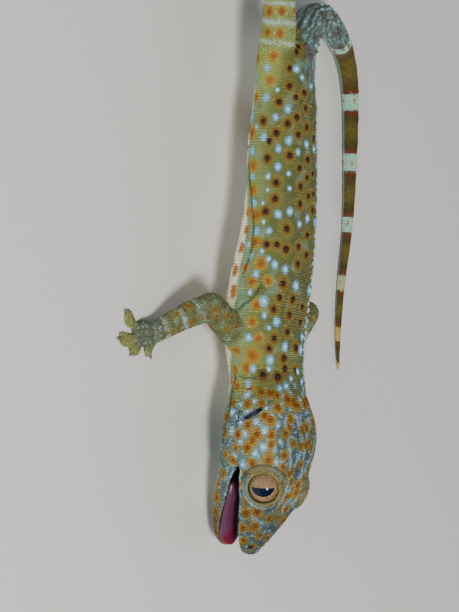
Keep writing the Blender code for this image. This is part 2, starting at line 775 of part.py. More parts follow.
def main():
    clear_scene()
    materials = {
        "back": make_material("back_skin", (0.23, 0.25, 0.12), 0.6),
        "head": make_material("head_skin", (0.24, 0.31, 0.33), 0.6),
        "tail": make_material("tail_skin", (0.20, 0.17, 0.05), 0.6),
        "limb": make_material("limb_skin", (0.27, 0.28, 0.13), 0.6),
        "eye": make_material("iris", (0.52, 0.33, 0.14), 0.15),
        "tongue": make_material("tongue_flesh", (0.42, 0.16, 0.27), 0.3),
    }
    trunk = make_spine_nodes(materials)
    make_head(materials)
    make_eyes(materials)
    make_jaw(materials)
    make_tongue(materials)
    for limb in LIMBS.values():
        make_limb(limb, trunk[limb["trunk"]], materials)
    centre_over_origin()


main()
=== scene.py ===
"""Life-size tokay gecko in the photo's pose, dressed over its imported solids.

Lengths are in millimetres in the animal's own frame: snout to +X, left side to +Y, vent near X = 0,
and floor at z = 0. MM makes them Blender's metres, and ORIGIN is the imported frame's origin there.
"""

import json
import math
import random

import bpy
import numpy as np
from mathutils import Matrix, Vector, kdtree, noise
from mathutils.bvhtree import BVHTree

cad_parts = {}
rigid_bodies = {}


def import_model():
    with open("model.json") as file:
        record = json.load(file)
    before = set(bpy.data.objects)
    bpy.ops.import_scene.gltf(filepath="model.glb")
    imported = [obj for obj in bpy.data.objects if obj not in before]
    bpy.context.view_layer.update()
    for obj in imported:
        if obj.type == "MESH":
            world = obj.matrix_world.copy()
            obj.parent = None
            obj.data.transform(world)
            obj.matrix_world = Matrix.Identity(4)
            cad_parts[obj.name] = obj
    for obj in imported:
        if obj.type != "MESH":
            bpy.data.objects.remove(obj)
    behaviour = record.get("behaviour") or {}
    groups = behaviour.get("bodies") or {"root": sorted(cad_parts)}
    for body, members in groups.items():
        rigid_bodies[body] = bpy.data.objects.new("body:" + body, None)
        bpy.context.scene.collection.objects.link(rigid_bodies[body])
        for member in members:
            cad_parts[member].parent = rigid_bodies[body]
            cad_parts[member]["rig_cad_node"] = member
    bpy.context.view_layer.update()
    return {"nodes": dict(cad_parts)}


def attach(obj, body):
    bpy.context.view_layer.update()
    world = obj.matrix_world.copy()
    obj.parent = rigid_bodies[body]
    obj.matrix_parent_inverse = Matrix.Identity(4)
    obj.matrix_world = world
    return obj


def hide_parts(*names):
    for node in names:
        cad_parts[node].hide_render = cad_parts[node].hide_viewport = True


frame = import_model()
nodes = frame["nodes"]


# Skin
# One closed skin over head, jaw, trunk, tail and limbs, as the real hide has no seam. It is made
# from the solids, melted together and smoothed, and lies inside them by the height of the scales.

MM = 0.001
ORIGIN = np.array((55.9522, 2.1815, 0.0))
FLESH = [name for name in nodes if not name.startswith(("eye", "tongue"))]
SKIN_VOXEL = 0.44
SEAM_FILL = 0.2
SCALE_DEPTH = 0.2
HEAD_BASE = np.array((103.0, -7.6, 0.0))
HEAD_YAW = math.radians(-6.0)
EYE_CENTRE = np.array((27.9, 7.1, 23.0))
EYE_AXIS = np.array((0.28, 0.84, 0.46)) / math.sqrt(0.28**2 + 0.84**2 + 0.46**2)
EYE_RADIUS = 4.9
HEAD_PARTS = ("head", "lower_jaw")
MOUTH_LEVEL = 14.2
WEIGHT_STEPS = 20


def pick(obj):
    """Selects one object alone and makes it active."""
    bpy.ops.object.select_all(action="DESELECT")
    obj.select_set(True)
    bpy.context.view_layer.objects.active = obj


def add_modifier(obj, kind, **settings):
    """A modifier for the active object, with its settings."""
    bpy.ops.object.modifier_add(type=kind)
    for name, value in settings.items():
        setattr(obj.modifiers[-1], name, value)


def apply_modifiers(obj):
    pick(obj)
    for modifier in list(obj.modifiers):
        bpy.ops.object.modifier_apply(modifier=modifier.name)


def melted_copy(label, main, names, fill, voxel):
    """One closed copy of some of the solids, grown a little so that the gaps between them close."""
    bpy.ops.object.select_all(action="DESELECT")
    for name in names:
        nodes[name].select_set(True)
    bpy.context.view_layer.objects.active = nodes[main]
    bpy.ops.object.duplicate()
    if len(names) > 1:
        bpy.ops.object.join()
    copy = bpy.context.active_object
    copy.name = label
    del copy["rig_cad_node"]
    bpy.ops.object.mode_set(mode="EDIT")
    bpy.ops.mesh.select_all(action="SELECT")
    bpy.ops.mesh.remove_doubles(threshold=1e-6)
    bpy.ops.object.mode_set(mode="OBJECT")
    add_modifier(copy, "DISPLACE", strength=fill * MM, mid_level=0.0)
    add_modifier(copy, "REMESH", mode="VOXEL", voxel_size=voxel * MM)
    apply_modifiers(copy)
    return copy


def in_metres(points):
    """Places of the animal's frame, as Blender takes them."""
    return (points - ORIGIN) * MM


def from_metres(points):
    return points / MM + ORIGIN


def values_of(obj, name):
    flat = np.empty(len(obj.data.vertices) * 3)
    obj.data.vertices.foreach_get(name, flat)
    return flat.reshape(-1, 3)


def places_of(obj):
    """The mesh's points in the animal's frame."""
    return from_metres(values_of(obj, "co"))


def normals_of(obj):
    return values_of(obj, "normal")


def set_places(obj, points):
    obj.data.vertices.foreach_set("co", in_metres(points).ravel())
    obj.data.update()


def unit(rows):
    """Each row's direction."""
    return rows / np.linalg.norm(rows, axis=1)[:, None]


def ease(low, high, value):
    """A smooth step from 0 at low to 1 at high."""
    share = np.clip((value - low) / (high - low), 0.0, 1.0)
    return share * share * (3.0 - 2.0 * share)


def from_head(point):
    """A point of the head's frame, in the animal's frame."""
    x, y, z = np.moveaxis(np.asarray(point, float), -1, 0)
    c, s = math.cos(HEAD_YAW), math.sin(HEAD_YAW)
    return HEAD_BASE + np.stack([c * x - s * y, s * x + c * y, z], -1)


def to_head(point):
    x, y, z = np.moveaxis(np.asarray(point, float) - HEAD_BASE, -1, 0)
    c, s = math.cos(HEAD_YAW), math.sin(HEAD_YAW)
    return np.stack([c * x + s * y, c * y - s * x, z], -1)


def on_side(point, side):
    """A place or direction of the head, kept with side 1 and mirrored with side -1."""
    return np.asarray(point, float) * (1.0, side, 1.0)


def tree_of(places):
    """An index of many places, which finds the nearest of them quickly."""
    tree = kdtree.KDTree(len(places))
    for number, place in enumerate(places):
        tree.insert(place, number)
    tree.balance()
    return tree


# The node that each part of the skin comes from
REGION = {name: number for number, name in enumerate(FLESH)}
region_places, region_numbers = [], []
for name, number in REGION.items():
    mesh = nodes[name].data
    known = [vert.co for vert in mesh.vertices] + [face.center for face in mesh.polygons]
    region_places += known
    region_numbers += [number] * len(known)
region_tree = tree_of(region_places)
region_numbers = np.array(region_numbers)


def regions_of(points):
    return region_numbers[[region_tree.find(place)[1] for place in in_metres(points).tolist()]]


def in_regions(region, *starts):
    return np.isin(region, [number for name, number in REGION.items() if name.startswith(starts)])


skin = melted_copy("skin", "torso", FLESH, SEAM_FILL, SKIN_VOXEL)

# Smoothing: most on trunk and limbs, least round the eyes, the lips and the toes
points = places_of(skin)
region = regions_of(points)
weight = np.ones(len(points))
weight[in_regions(region, "tail_tip")] = 0.5
weight[in_regions(region, "hand", "foot")] = 0.35
in_head = to_head(points)
on_head = in_regions(region, *HEAD_PARTS)
weight[on_head] = 0.55
for side in (-1.0, 1.0):
    away = np.linalg.norm(in_head - on_side(EYE_CENTRE, side), axis=1)
    weight[on_head] = np.minimum(weight, 0.12 + 0.5 * ease(6.5, 9.0, away))[on_head]
by_lips = on_head & (in_head[:, 0] > 22.0)
sharper = 0.15 + 0.4 * ease(0.4, 2.6, np.abs(in_head[:, 2] - MOUTH_LEVEL))
weight[by_lips] = np.minimum(weight, sharper)[by_lips]
group = skin.vertex_groups.new(name="smooth")
for level in range(1, WEIGHT_STEPS + 1):
    chosen = np.nonzero(np.round(weight * WEIGHT_STEPS) == level)[0]
    group.add(chosen.tolist(), level / WEIGHT_STEPS, "REPLACE")
add_modifier(skin, "SMOOTH", factor=0.6, iterations=22, vertex_group="smooth")
apply_modifiers(skin)
skin.vertex_groups.clear()


# Lines of the body
# The spine and the limb bones, as the solids have them. They tell how far along the body and how
# far round it a place lies, which the rows of scales and the markings follow.

# x, y, z, half width, height above the axis, depth below it
SPINE = np.array((
    (97.4, 56.7, 0.50, 0.55, 0.55, 0.55), (91.5, 55.9, 0.85, 0.90, 0.90, 0.90),
    (84.0, 55.7, 1.15, 1.22, 1.18, 1.20), (71.4, 56.8, 1.40, 1.50, 1.45, 1.48),
    (52.0, 60.1, 1.80, 1.95, 1.85, 1.92), (31.7, 60.9, 2.25, 2.45, 2.30, 2.40),
    (12.7, 60.6, 2.65, 2.85, 2.70, 2.80), (3.6, 58.8, 2.95, 3.15, 3.00, 3.10),
    (-3.4, 54.4, 3.75, 3.50, 3.35, 3.45), (-8.6, 45.5, 5.90, 4.15, 4.00, 4.00),
    (-11.2, 34.5, 9.00, 4.70, 4.55, 4.45), (-9.8, 22.5, 13.2, 5.10, 4.95, 4.85),
    (-4.0, 12.0, 16.4, 5.70, 5.40, 5.30), (3.5, 5.6, 17.8, 6.90, 6.30, 6.20),
    (10.5, 2.2, 18.0, 9.00, 7.70, 7.60), (18.0, 0.35, 17.9, 10.6, 8.75, 8.20),
    (30.0, -0.45, 17.6, 11.8, 9.15, 8.30), (44.0, -1.4, 17.8, 12.2, 9.50, 8.80),
    (57.0, -3.05, 17.6, 13.0, 9.90, 9.30), (69.0, -5.1, 17.0, 14.1, 10.25, 10.3),
    (79.0, -6.55, 16.5, 14.2, 10.1, 10.9), (88.0, -7.2, 16.6, 13.0, 9.80, 11.2),
    (96.0, -7.3, 17.1, 11.6, 9.60, 11.0), (103.0, -7.6, 17.6, 11.6, 10.2, 11.0),
    (112.0, -8.5, 17.8, 14.6, 12.4, 11.2),
))
# From the root to the palm: x, y, z, half width, half height
LIMBS = {
    "fore_right": (
        (89.0, -9.0, 14.8, 5.4, 5.2), (87.4, -15.5, 14.2, 5.2, 5.0), (83.0, -22.8, 13.2, 4.5, 4.3),
        (77.4, -29.0, 12.2, 4.2, 4.0), (80.4, -36.7, 8.3, 3.9, 3.3), (84.3, -43.2, 3.8, 3.5, 2.3),
        (85.2, -47.2, 2.0, 4.0, 2.0),
    ),
    "fore_left": (
        (89.0, -6.0, 14.8, 5.4, 5.2), (87.0, 2.0, 14.4, 5.2, 5.0), (83.4, 11.8, 13.6, 4.4, 4.2),
        (79.6, 20.8, 12.6, 3.9, 3.8), (89.2, 19.0, 8.0, 3.6, 3.1), (98.4, 17.2, 4.0, 3.0, 2.2),
        (101.8, 16.8, 1.9, 3.3, 1.9),
    ),
    "hind_right": (
        (16.0, -3.0, 17.0, 6.9, 6.4), (5.6, -4.5, 17.9, 5.9, 5.7), (-6.0, -5.4, 19.9, 5.4, 5.2),
        (-18.2, -6.4, 20.6, 4.4, 4.3), (-22.2, -12.4, 13.0, 4.2, 3.9), (-26.4, -19.4, 4.8, 3.0, 2.4),
        (-28.2, -23.4, 2.0, 3.6, 2.0),
    ),
    "hind_left": (
        (11.0, 2.0, 16.4, 6.0, 5.6), (15.0, 8.6, 14.8, 5.8, 5.4), (22.0, 16.2, 12.2, 5.0, 4.8),
        (29.4, 23.4, 9.4, 4.1, 4.0), (22.4, 26.4, 7.0, 3.8, 3.5), (15.8, 29.4, 4.0, 2.9, 2.2),
        (12.8, 31.0, 2.0, 3.5, 2.0),
    ),
}
LIMB_NODES = {
    "fore_right": ("upper_arm_right", "forearm_right", "hand_right"),
    "fore_left": ("upper_arm_left", "forearm_left", "hand_left"),
    "hind_right": ("thigh_right", "shank_right", "foot_right"),
    "hind_left": ("thigh_left", "shank_left", "foot_left"),
}


def run_along(places):
    """How far along a line each of its places lies."""
    return np.concatenate([[0.0], np.cumsum(np.linalg.norm(np.diff(places, axis=0), axis=1))])


class Line:
    """A smooth line with its direction, side, up and radius at many places."""

    def __init__(self, rows, steps):
        rows = np.asarray(rows, float)
        last = len(rows) - 1
        t = np.linspace(0.0, last, steps)
        i = np.minimum(t.astype(int), last - 1)
        f = (t - i)[:, None]
        a, b = rows[i], rows[i + 1]
        rise = (b - rows[np.maximum(i - 1, 0)]) / np.where(i > 0, 2.0, 1.0)[:, None]
        fall = (rows[np.minimum(i + 2, last)] - a) / np.where(i < last - 1, 2.0, 1.0)[:, None]
        full = (
            a * (2 * f**3 - 3 * f**2 + 1) + rise * (f**3 - 2 * f**2 + f)
            + b * (3 * f**2 - 2 * f**3) + fall * (f**3 - f**2)
        )
        self.t, self.centre, self.radius = t, full[:, :3], full[:, 3:].mean(axis=1)
        self.ahead = unit(np.gradient(self.centre, axis=0))
        self.side = unit(np.cross((0.0, 0.0, 1.0), self.ahead))
        self.up = np.cross(self.ahead, self.side)
        self.run = run_along(self.centre)
        self.tree = tree_of(self.centre)

    def nearest(self, points):
        return np.array([self.tree.find(place)[1] for place in points.tolist()], int)

    def step_at(self, run):
        return int(np.searchsorted(self.run, run))

    def angle(self, points, index):
        """Degrees round the line: 0 on top, positive to the left."""
        rel = points - self.centre[index]
        across = (rel * self.side[index]).sum(axis=1)
        rise = (rel * self.up[index]).sum(axis=1)
        return np.degrees(np.arctan2(across, rise))


spine = Line(SPINE, 700)
limb_lines = {key: Line(rows, 160) for key, rows in LIMBS.items()}
vent_step = int(np.argmin(np.abs(spine.t - 13.0)))


# Folds
# Loose skin creases along the flank, behind the arm, over the neck and behind the ear. The crown
# has low ridges, and the tight bend pleats the tail's root lengthwise. All are pressed in the skin.

FLOOR_LIFT = 0.04

# The skin sinks under the solids' surface by the scales' height, less where the body is thin
points = places_of(skin)
region = regions_of(points)
depth = np.full(len(points), SEAM_FILL + SCALE_DEPTH)
on_tail = in_regions(region, "tail")
tail_radius = spine.radius[spine.nearest(points[on_tail])]
depth[on_tail] = SEAM_FILL + np.minimum(SCALE_DEPTH, 0.11 * tail_radius)
depth[in_regions(region, "hand", "foot")] = SEAM_FILL + 0.1
points = points - normals_of(skin) * depth[:, None]
points[:, 2] = np.maximum(points[:, 2], FLOOR_LIFT)
set_places(skin, points)


def surface_tree():
    mesh = skin.data
    return BVHTree.FromPolygons([v.co for v in mesh.vertices], [p.vertices[:] for p in mesh.polygons])


def on_surface(point):
    """The nearest place on the skin, with its outward direction."""
    found = surface.find_nearest(Vector(in_metres(np.asarray(point))))
    return from_metres(np.array(found[0])), np.array(found[1])


def cast(line, index, turn, reach):
    """Where a ray from one step of a line leaves the skin, at an angle round the line, or None."""
    way = line.up[index] * math.cos(turn) + line.side[index] * math.sin(turn)
    hit = surface.ray_cast(Vector(in_metres(line.centre[index])), Vector(way), reach * MM)[0]
    return None if hit is None else from_metres(np.array(hit))


def on_trunk(x, degrees):
    """The place on the trunk at a length and an angle round it, and the way ahead there."""
    index = vent_step + int(np.argmin(np.abs(spine.centre[vent_step:, 0] - x)))
    return cast(spine, index, math.radians(degrees), 30.0), spine.ahead[index]


# Creases of the right side. On the trunk by length and angle, on the head in the head's frame
TRUNK_CREASES = (
    (
        (24.0, -121), (32.0, -116), (40.8, -109), (44.6, -104), (48.1, -100), (53.1, -94),
        (56.0, -90), (59.0, -89), (61.9, -87), (64.9, -88), (67.8, -90), (70.8, -93),
    ),
    (
        (81.2, -98), (79.4, -92), (78.3, -86), (77.4, -80), (76.4, -76), (75.4, -73),
        (74.2, -70), (73.2, -68), (71.8, -65),
    ),
)
HEAD_CREASES = (
    (
        (-5.1, -11.0, 12.9), (-3.6, -10.7, 12.6), (-0.4, -10.3, 12.0), (2.7, -11.6, 12.4),
        (6.3, -13.2, 13.0), (9.3, -14.2, 13.4),
    ),
    ((3.9, -13.1, 16.6), (6.3, -14.0, 17.2), (8.7, -14.8, 17.3), (11.7, -15.2, 17.0)),
    ((-3.4, -11.3, 14.2), (-3.5, -11.5, 16.5), (-3.5, -11.4, 18.6), (-3.3, -10.9, 21.1)),
    ((5.4, -12.1, 24.6), (4.0, -11.3, 25.4), (2.4, -10.3, 26.2)),
    ((7.8, -13.4, 12.6), (12.3, -14.0, 12.4), (16.3, -13.5, 11.9)),
)
CREASE_DEPTH = (0.7, 0.65, 0.7, 0.35, 0.35, 0.45, 0.4)
CROWN_RIDGES = (
    (
        (7.1, 1.6, 30.7), (9.7, 1.9, 31.2), (13.0, 1.3, 31.4), (17.9, 0.9, 30.9),
        (22.8, 2.4, 29.7), (29.4, 1.5, 27.9), (33.5, 0.2, 25.5), (36.0, -1.2, 24.2),
    ),
    (
        (7.0, 7.6, 29.4), (9.9, 8.2, 29.8), (13.3, 6.9, 30.5), (17.6, 6.2, 30.3),
        (21.3, 7.6, 28.9), (26.1, 7.4, 28.7),
    ),
    (
        (15.0, -6.6, 30.4), (17.7, -5.8, 30.4), (20.5, -4.4, 30.0), (24.0, -3.5, 29.5),
        (27.5, -3.4, 28.8), (30.8, -3.4, 27.6), (34.0, -3.6, 25.6),
    ),
    ((6.0, -3.1, 30.3), (7.5, -3.1, 30.7), (11.3, -3.3, 31.3)),
)
LINE_STEP = 0.15


def line_row(places, strength):
    """Even places along a line, how much of it is left towards its ends, and its strength."""
    places = np.array([place for place in places if place is not None])
    run = run_along(places)
    wanted = np.linspace(0.0, run[-1], int(run[-1] / LINE_STEP) + 2)
    fine = np.stack([np.interp(wanted, run, places[:, k]) for k in range(3)], axis=1)
    return fine, ease(0.0, 2.0, np.minimum(wanted, run[-1] - wanted) + 0.4), strength


def head_row(row, side, strength):
    return line_row([on_surface(from_head(on_side(place, -side)))[0] for place in row], strength)


class Lines:
    """Many lines on the skin, and the distance from them."""

    def __init__(self, rows):
        self.fade = np.concatenate([fade * strength for _, fade, strength in rows])
        self.tree = tree_of(np.concatenate([fine for fine, _, _ in rows]))

    def near(self, points):
        """Distance to the nearest line, and that line's strength there."""
        found = [self.tree.find(place) for place in points.tolist()]
        return np.array([f[2] for f in found]), self.fade[np.array([f[1] for f in found], int)]


surface = surface_tree()
crease_rows, ridge_rows = [], []
for side in (-1.0, 1.0):
    for row, strength in zip(TRUNK_CREASES, CREASE_DEPTH):
        crease_rows.append(line_row([on_trunk(x, degrees * -side)[0] for x, degrees in row], strength))
    for row, strength in zip(HEAD_CREASES, CREASE_DEPTH[2:]):
        crease_rows.append(head_row(row, side, strength))
    for row in CROWN_RIDGES:
        ridge_rows.append(head_row(row, side, 1.0))
creases, ridges = Lines(crease_rows), Lines(ridge_rows)


def root_share(angle, run):
    """Where the grey hide of the tail's root ends on the hips: all round behind, then on the left only."""
    edge = np.interp(run, (147.0, 154.0, 160.0, 170.0), (150.0, 48.0, 18.0, -4.0))
    return ease(-22.0, -2.0, angle + edge)


def pleats(points, index):
    """Lengthwise folds of the tail's root, from -1 to 1, and how strong they are at each place."""
    angle = spine.angle(points, index)
    turn, run = np.radians(angle), spine.run[index]
    wander = 1.1 * np.sin(run * 0.41) + 2.0 * np.sin(turn * 2.0) + 0.8 * np.sin(run * 0.93 + turn * 5.0)
    strength = ease(105.0, 112.0, run) * (1.0 - ease(166.0, 176.0, run)) * ease(150.0, 110.0, np.abs(angle))
    return np.cos(turn * 16.0 + wander), strength * root_share(angle, run)


def eye_places(local, side):
    """Distance from one eye's axis, height along that axis from the eye's centre, and how far back."""
    rel = local - on_side(EYE_CENTRE, side)
    rise = rel @ on_side(EYE_AXIS, side)
    return np.sqrt(np.maximum((rel**2).sum(axis=1) - rise**2, 0.0)), rise, -rel[:, 0]


NOSTRIL = np.array((46.1, 3.0, 16.3))
LID_GROOVES = (5.55, 6.9)
points = places_of(skin)
region = regions_of(points)
away, strength = creases.near(points)
lift = -strength * np.exp(-((away / 0.42) ** 2)) + 0.4 * strength * np.exp(-(((away - 1.2) / 0.6) ** 2))
away, strength = ridges.near(points)
lift += 0.12 * strength * np.exp(-((away / 0.5) ** 2))
local = to_head(points)
for side in (-1.0, 1.0):
    lift -= 0.65 * np.exp(-((np.linalg.norm(local - on_side(NOSTRIL, side), axis=1) / 0.72) ** 2))
    flat, rise, _ = eye_places(local, side)
    for groove in LID_GROOVES:
        lift -= 0.22 * ((rise > 0.2) & (rise < 6.5)) * np.exp(-(((flat - groove) / 0.28) ** 2))
wave, strength = pleats(points, spine.nearest(points))
lift += 0.16 * (wave - 1.0) * strength * in_regions(region, "tail", "hips")
points = points + normals_of(skin) * lift[:, None]
points[:, 2] = np.maximum(points[:, 2], FLOOR_LIFT)
set_places(skin, points)

# Smooth stretches of the skin need fewer faces than its folds, which keep theirs
add_modifier(skin, "DECIMATE", ratio=0.6)
apply_modifiers(skin)
bpy.ops.object.shade_smooth()
surface = surface_tree()


# Markings
# Each spot sits at a place on the skin, and one rule colours skin and scales alike by how far they
# lie from the spots, along the body and round it. The right side has the rows that show in the
# photo, and the left side mirrors them with small changes, as on the real animal.

rng = random.Random(11)


def linear(hex_colour):
    """sRGB hex to linear light."""
    value = np.array([int(hex_colour[k : k + 2], 16) / 255 for k in (1, 3, 5)])
    return np.where(value <= 0.04045, value / 12.92, ((value + 0.055) / 1.055) ** 2.4)


# Spots of the right side and the middle of the back: length, angle, radius
BLUE = (
    (11.4, -87, 1.1), (9.2, -42, 1.4), (10.9, -25, 1.1), (11.5, 11, 1.2), (11.9, -111, 1.0),
    (15.4, -70, 0.8), (17.3, -88, 1.3), (19.9, -49, 1.3), (22.3, -68, 1.1), (21.7, -114, 1.2),
    (28.2, -85, 1.2), (29.2, -45, 1.3), (29.7, -3, 1.3), (30.4, 27, 1.2), (32.0, -61, 1.1),
    (32.1, -26, 1.1), (32.5, -104, 1.2), (37.3, -61, 1.2), (39.1, -44, 0.9), (40.1, -75, 1.0),
    (40.2, -101, 0.9), (43.7, -42, 0.8), (48.3, -94, 1.2), (50.1, -39, 1.3), (51.7, -57, 1.3),
    (51.1, 5, 1.3), (53.5, -17, 1.1), (51.8, 36, 1.2), (56.8, -67, 1.1), (57.5, -84, 1.2),
    (65.4, -62, 0.9), (66.7, -53, 1.2), (67.3, -36, 1.3), (65.1, -86, 1.1), (63.4, -72, 0.8),
    (70.9, -8, 1.6), (71.2, 38, 1.6), (70.1, -75, 1.2), (77.3, -61, 1.6), (81.2, -59, 0.9),
    (82.7, -41, 1.5), (75.1, -79, 0.9), (87.1, -79, 1.2), (89.7, -23, 1.5), (93.7, -51, 1.4),
    (96.4, -78, 1.2), (96.6, -54, 0.9), (100.8, -88, 1.1), (101.6, -25, 1.3), (102.4, -38, 1.2),
    (44.6, -75, 0.6), (48.6, -80, 0.6), (54.5, -76, 0.7), (61.5, -93, 0.9), (25.2, -100, 0.8),
    (84.5, -52, 0.7), (99.5, -12, 1.0), (97.5, 12, 1.0), (86.5, 30, 1.3),
)
DARK = (
    (1.2, -50, 0.9), (2.7, -65, 0.8), (5.0, -52, 1.0), (9.8, -56, 1.0), (14.1, -50, 1.0),
    (14.5, -14, 1.0), (16.6, -35, 0.8), (18.3, -64, 1.0), (18.9, -8, 0.9), (21.9, -31, 1.0),
    (23.6, -88, 1.1), (23.8, -48, 1.1), (24.1, -2, 1.0), (26.8, -65, 1.1), (26.9, -26, 1.0),
    (29.7, -75, 0.9), (34.7, -77, 1.1), (33.5, -43, 1.1), (34.4, 2, 1.0), (37.0, -22, 0.9),
    (39.8, 0, 0.9), (42.1, -63, 1.1), (42.3, -19, 1.0), (43.8, 23, 0.9), (44.8, 5, 1.0),
    (47.3, -63, 1.1), (47.6, -19, 1.1), (51.3, -75, 1.1), (55.8, -42, 1.2), (56.2, 8, 1.0),
    (59.7, -14, 1.0), (61.3, -67, 1.0), (60.9, -54, 0.9), (61.7, -39, 1.1), (61.5, 12, 1.0),
    (65.1, -11, 1.1), (65.7, 33, 1.0), (71.5, -37, 1.2), (75.3, -11, 1.1), (75.6, -40, 1.0),
    (75.3, 41, 1.0), (76.9, 19, 0.9), (79.0, -47, 1.1), (80.0, -16, 1.1), (80.1, 39, 1.0),
    (82.1, 19, 1.0), (87.6, -44, 1.1), (85.3, -18, 1.1), (90.3, -52, 1.0), (93.5, -26, 1.2),
    (90.4, 7, 1.2), (96.5, -25, 1.0), (97.1, 4, 1.0), (99.1, -40, 1.2), (98.2, -63, 1.2),
)
ORANGE = (
    (2.9, -87, 1.1), (8.5, -78, 1.3), (8.9, -103, 1.1), (13.6, -83, 1.2), (17.0, -113, 1.3),
    (27.1, -109, 1.4), (36.7, -101, 1.3), (44.4, -99, 1.3), (52.7, -88, 1.5), (60.7, -83, 1.4),
    (66.9, -71, 1.4), (72.1, -78, 1.3), (71.3, -59, 1.1), (78.6, -69, 1.4), (83.0, -74, 1.2),
    (87.5, -66, 1.2), (92.0, -76, 1.8), (95.9, -89, 1.3), (96.1, -111, 1.1), (102.5, -84, 1.3),
    (101.5, -108, 1.1), (90.5, -100, 1.3),
)
BELLY = (
    (51.2, -102, 1.2), (57.1, -101, 1.2), (62.7, -104, 1.3), (69.4, -108, 1.4), (75.1, -104, 1.5),
    (68.6, -90, 1.1), (89.7, -112, 1.1), (81.0, -112, 1.3),
)
# Spots of the right side of the head, in the head's frame: x, y, z, radius
HEAD_ORANGE = (
    (0.6, -11.1, 22.6, 1.2), (0.9, -9.6, 24.9, 1.2), (1.2, -8.2, 26.4, 1.1), (2.2, -5.1, 28.2, 1.5),
    (3.2, -2.9, 29.0, 1.6), (3.9, -1.3, 29.3, 1.2), (5.1, -9.0, 27.5, 1.4), (4.3, -13.2, 19.5, 1.2),
    (4.0, -11.9, 23.7, 1.1), (4.2, -12.7, 14.0, 1.1), (8.8, -11.7, 26.7, 1.5), (7.8, -12.5, 25.4, 1.3),
    (8.2, -5.9, 29.8, 1.3), (10.6, -14.8, 21.2, 1.3), (13.4, -15.4, 18.0, 1.2), (13.2, -14.1, 24.1, 1.3),
    (15.3, -14.5, 22.8, 1.3), (17.3, -14.6, 21.2, 1.4), (13.2, -11.5, 27.4, 1.2),
    (15.8, -11.3, 27.4, 1.2), (12.4, -7.7, 29.7, 1.4), (10.8, -1.2, 30.8, 1.3), (14.2, 2.9, 30.8, 1.2),
    (15.6, -1.2, 30.7, 1.2), (17.5, -14.8, 17.1, 1.0), (21.8, -13.0, 22.2, 1.4), (20.5, -11.0, 26.6, 1.5),
    (18.7, -7.2, 29.4, 1.2), (22.2, -6.9, 29.0, 1.1), (22.8, -2.6, 29.7, 1.0), (27.1, 2.0, 29.0, 1.3),
    (29.4, 2.2, 28.5, 1.3), (21.0, -13.6, 15.6, 1.2), (19.3, -13.6, 12.8, 1.0), (25.0, -11.8, 10.6, 1.0),
    (31.7, -9.0, 7.2, 1.2), (35.9, -8.2, 6.4, 1.2), (38.8, -7.0, 5.8, 1.1), (36.4, -8.8, 18.0, 1.3),
    (35.7, -7.9, 21.6, 1.4), (37.4, -3.9, 23.5, 1.2), (40.0, -6.2, 19.8, 1.3), (40.5, -7.4, 16.4, 1.1),
    (42.4, -3.0, 19.7, 1.1), (44.2, -5.4, 15.6, 1.1), (46.0, -2.4, 17.0, 1.0), (42.9, 1.2, 19.4, 1.0),
    (34.3, 1.6, 25.5, 1.1), (36.9, 0.3, 23.5, 1.0), (32.9, -9.9, 18.7, 0.9), (24.8, -12.4, 19.2, 0.9),
    (31.0, -1.6, 27.2, 1.1), (28.0, -11.6, 17.6, 0.9), (8.0, -13.0, 12.0, 1.1), (13.0, -14.6, 12.4, 1.1),
    (27.6, -10.8, 7.4, 1.0), (42.2, -5.0, 5.4, 1.0), (15.1, -4.8, 31.0, 1.1), (20.9, 0.8, 30.2, 1.1),
    (24.7, 4.0, 29.4, 1.1), (30.3, 0.0, 27.3, 0.9), (21.9, 6.7, 29.2, 1.1), (11.0, 6.4, 30.2, 1.1),
)
HEAD_BLUE = (
    (0.2, -9.9, 23.4, 0.9), (1.6, -12.0, 18.6, 1.1), (11.9, -13.0, 25.8, 1.1), (9.7, -14.0, 23.5, 1.0),
    (4.8, -13.5, 17.0, 0.9), (3.5, -12.7, 21.4, 0.9), (12.6, -15.2, 15.6, 1.1), (13.3, -15.1, 20.4, 1.1),
    (16.8, -12.8, 25.8, 1.1), (19.0, -13.8, 23.4, 1.0), (22.3, -13.3, 19.1, 1.0), (21.1, -9.2, 28.0, 0.9),
    (19.6, -14.0, 16.6, 0.9), (5.4, -11.6, 25.0, 0.8), (7.2, -11.2, 27.2, 0.8), (15.0, -9.2, 29.0, 0.7),
    (14.6, -4.2, 30.6, 0.7), (10.4, -9.9, 28.4, 0.8), (38.0, -8.4, 16.9, 0.7), (38.0, -7.2, 20.2, 0.7),
    (38.9, -5.3, 21.6, 0.7), (33.4, -9.4, 20.4, 0.7), (15.6, -15.2, 18.8, 0.9), (10.0, -14.6, 18.6, 0.9),
    (24.6, -12.6, 16.6, 0.7), (6.6, -13.8, 20.0, 0.8), (0.6, -3.6, 28.0, 1.1), (1.4, -6.6, 27.4, 0.9),
    (2.0, 0.6, 28.6, 1.1), (7.0, -14.0, 14.8, 0.9),
)

KINDS = ("blue", "dark", "orange", "belly", "head_orange", "head_blue", "limb")
spots = []


def add_spot(kind, place, ahead, radius):
    if place is not None:
        spots.append((KINDS.index(kind), place, ahead, radius))


def clear_of_spots(place, gap):
    return all(np.linalg.norm(place - spot[1]) > gap for spot in spots)


TRUNK_KINDS = (("blue", BLUE), ("dark", DARK), ("orange", ORANGE), ("belly", BELLY))
HEAD_KINDS = (("head_orange", HEAD_ORANGE), ("head_blue", HEAD_BLUE))
for kind, rows in TRUNK_KINDS:
    for x, degrees, radius in rows:
        add_spot(kind, *on_trunk(x, degrees), radius * (0.86 if kind == "blue" else 1.0))
head_ahead = from_head((1.0, 0.0, 0.0)) - HEAD_BASE
for kind, rows in HEAD_KINDS:
    for x, y, z, radius in rows:
        add_spot(kind, on_surface(from_head((x, y, z)))[0], head_ahead, radius)

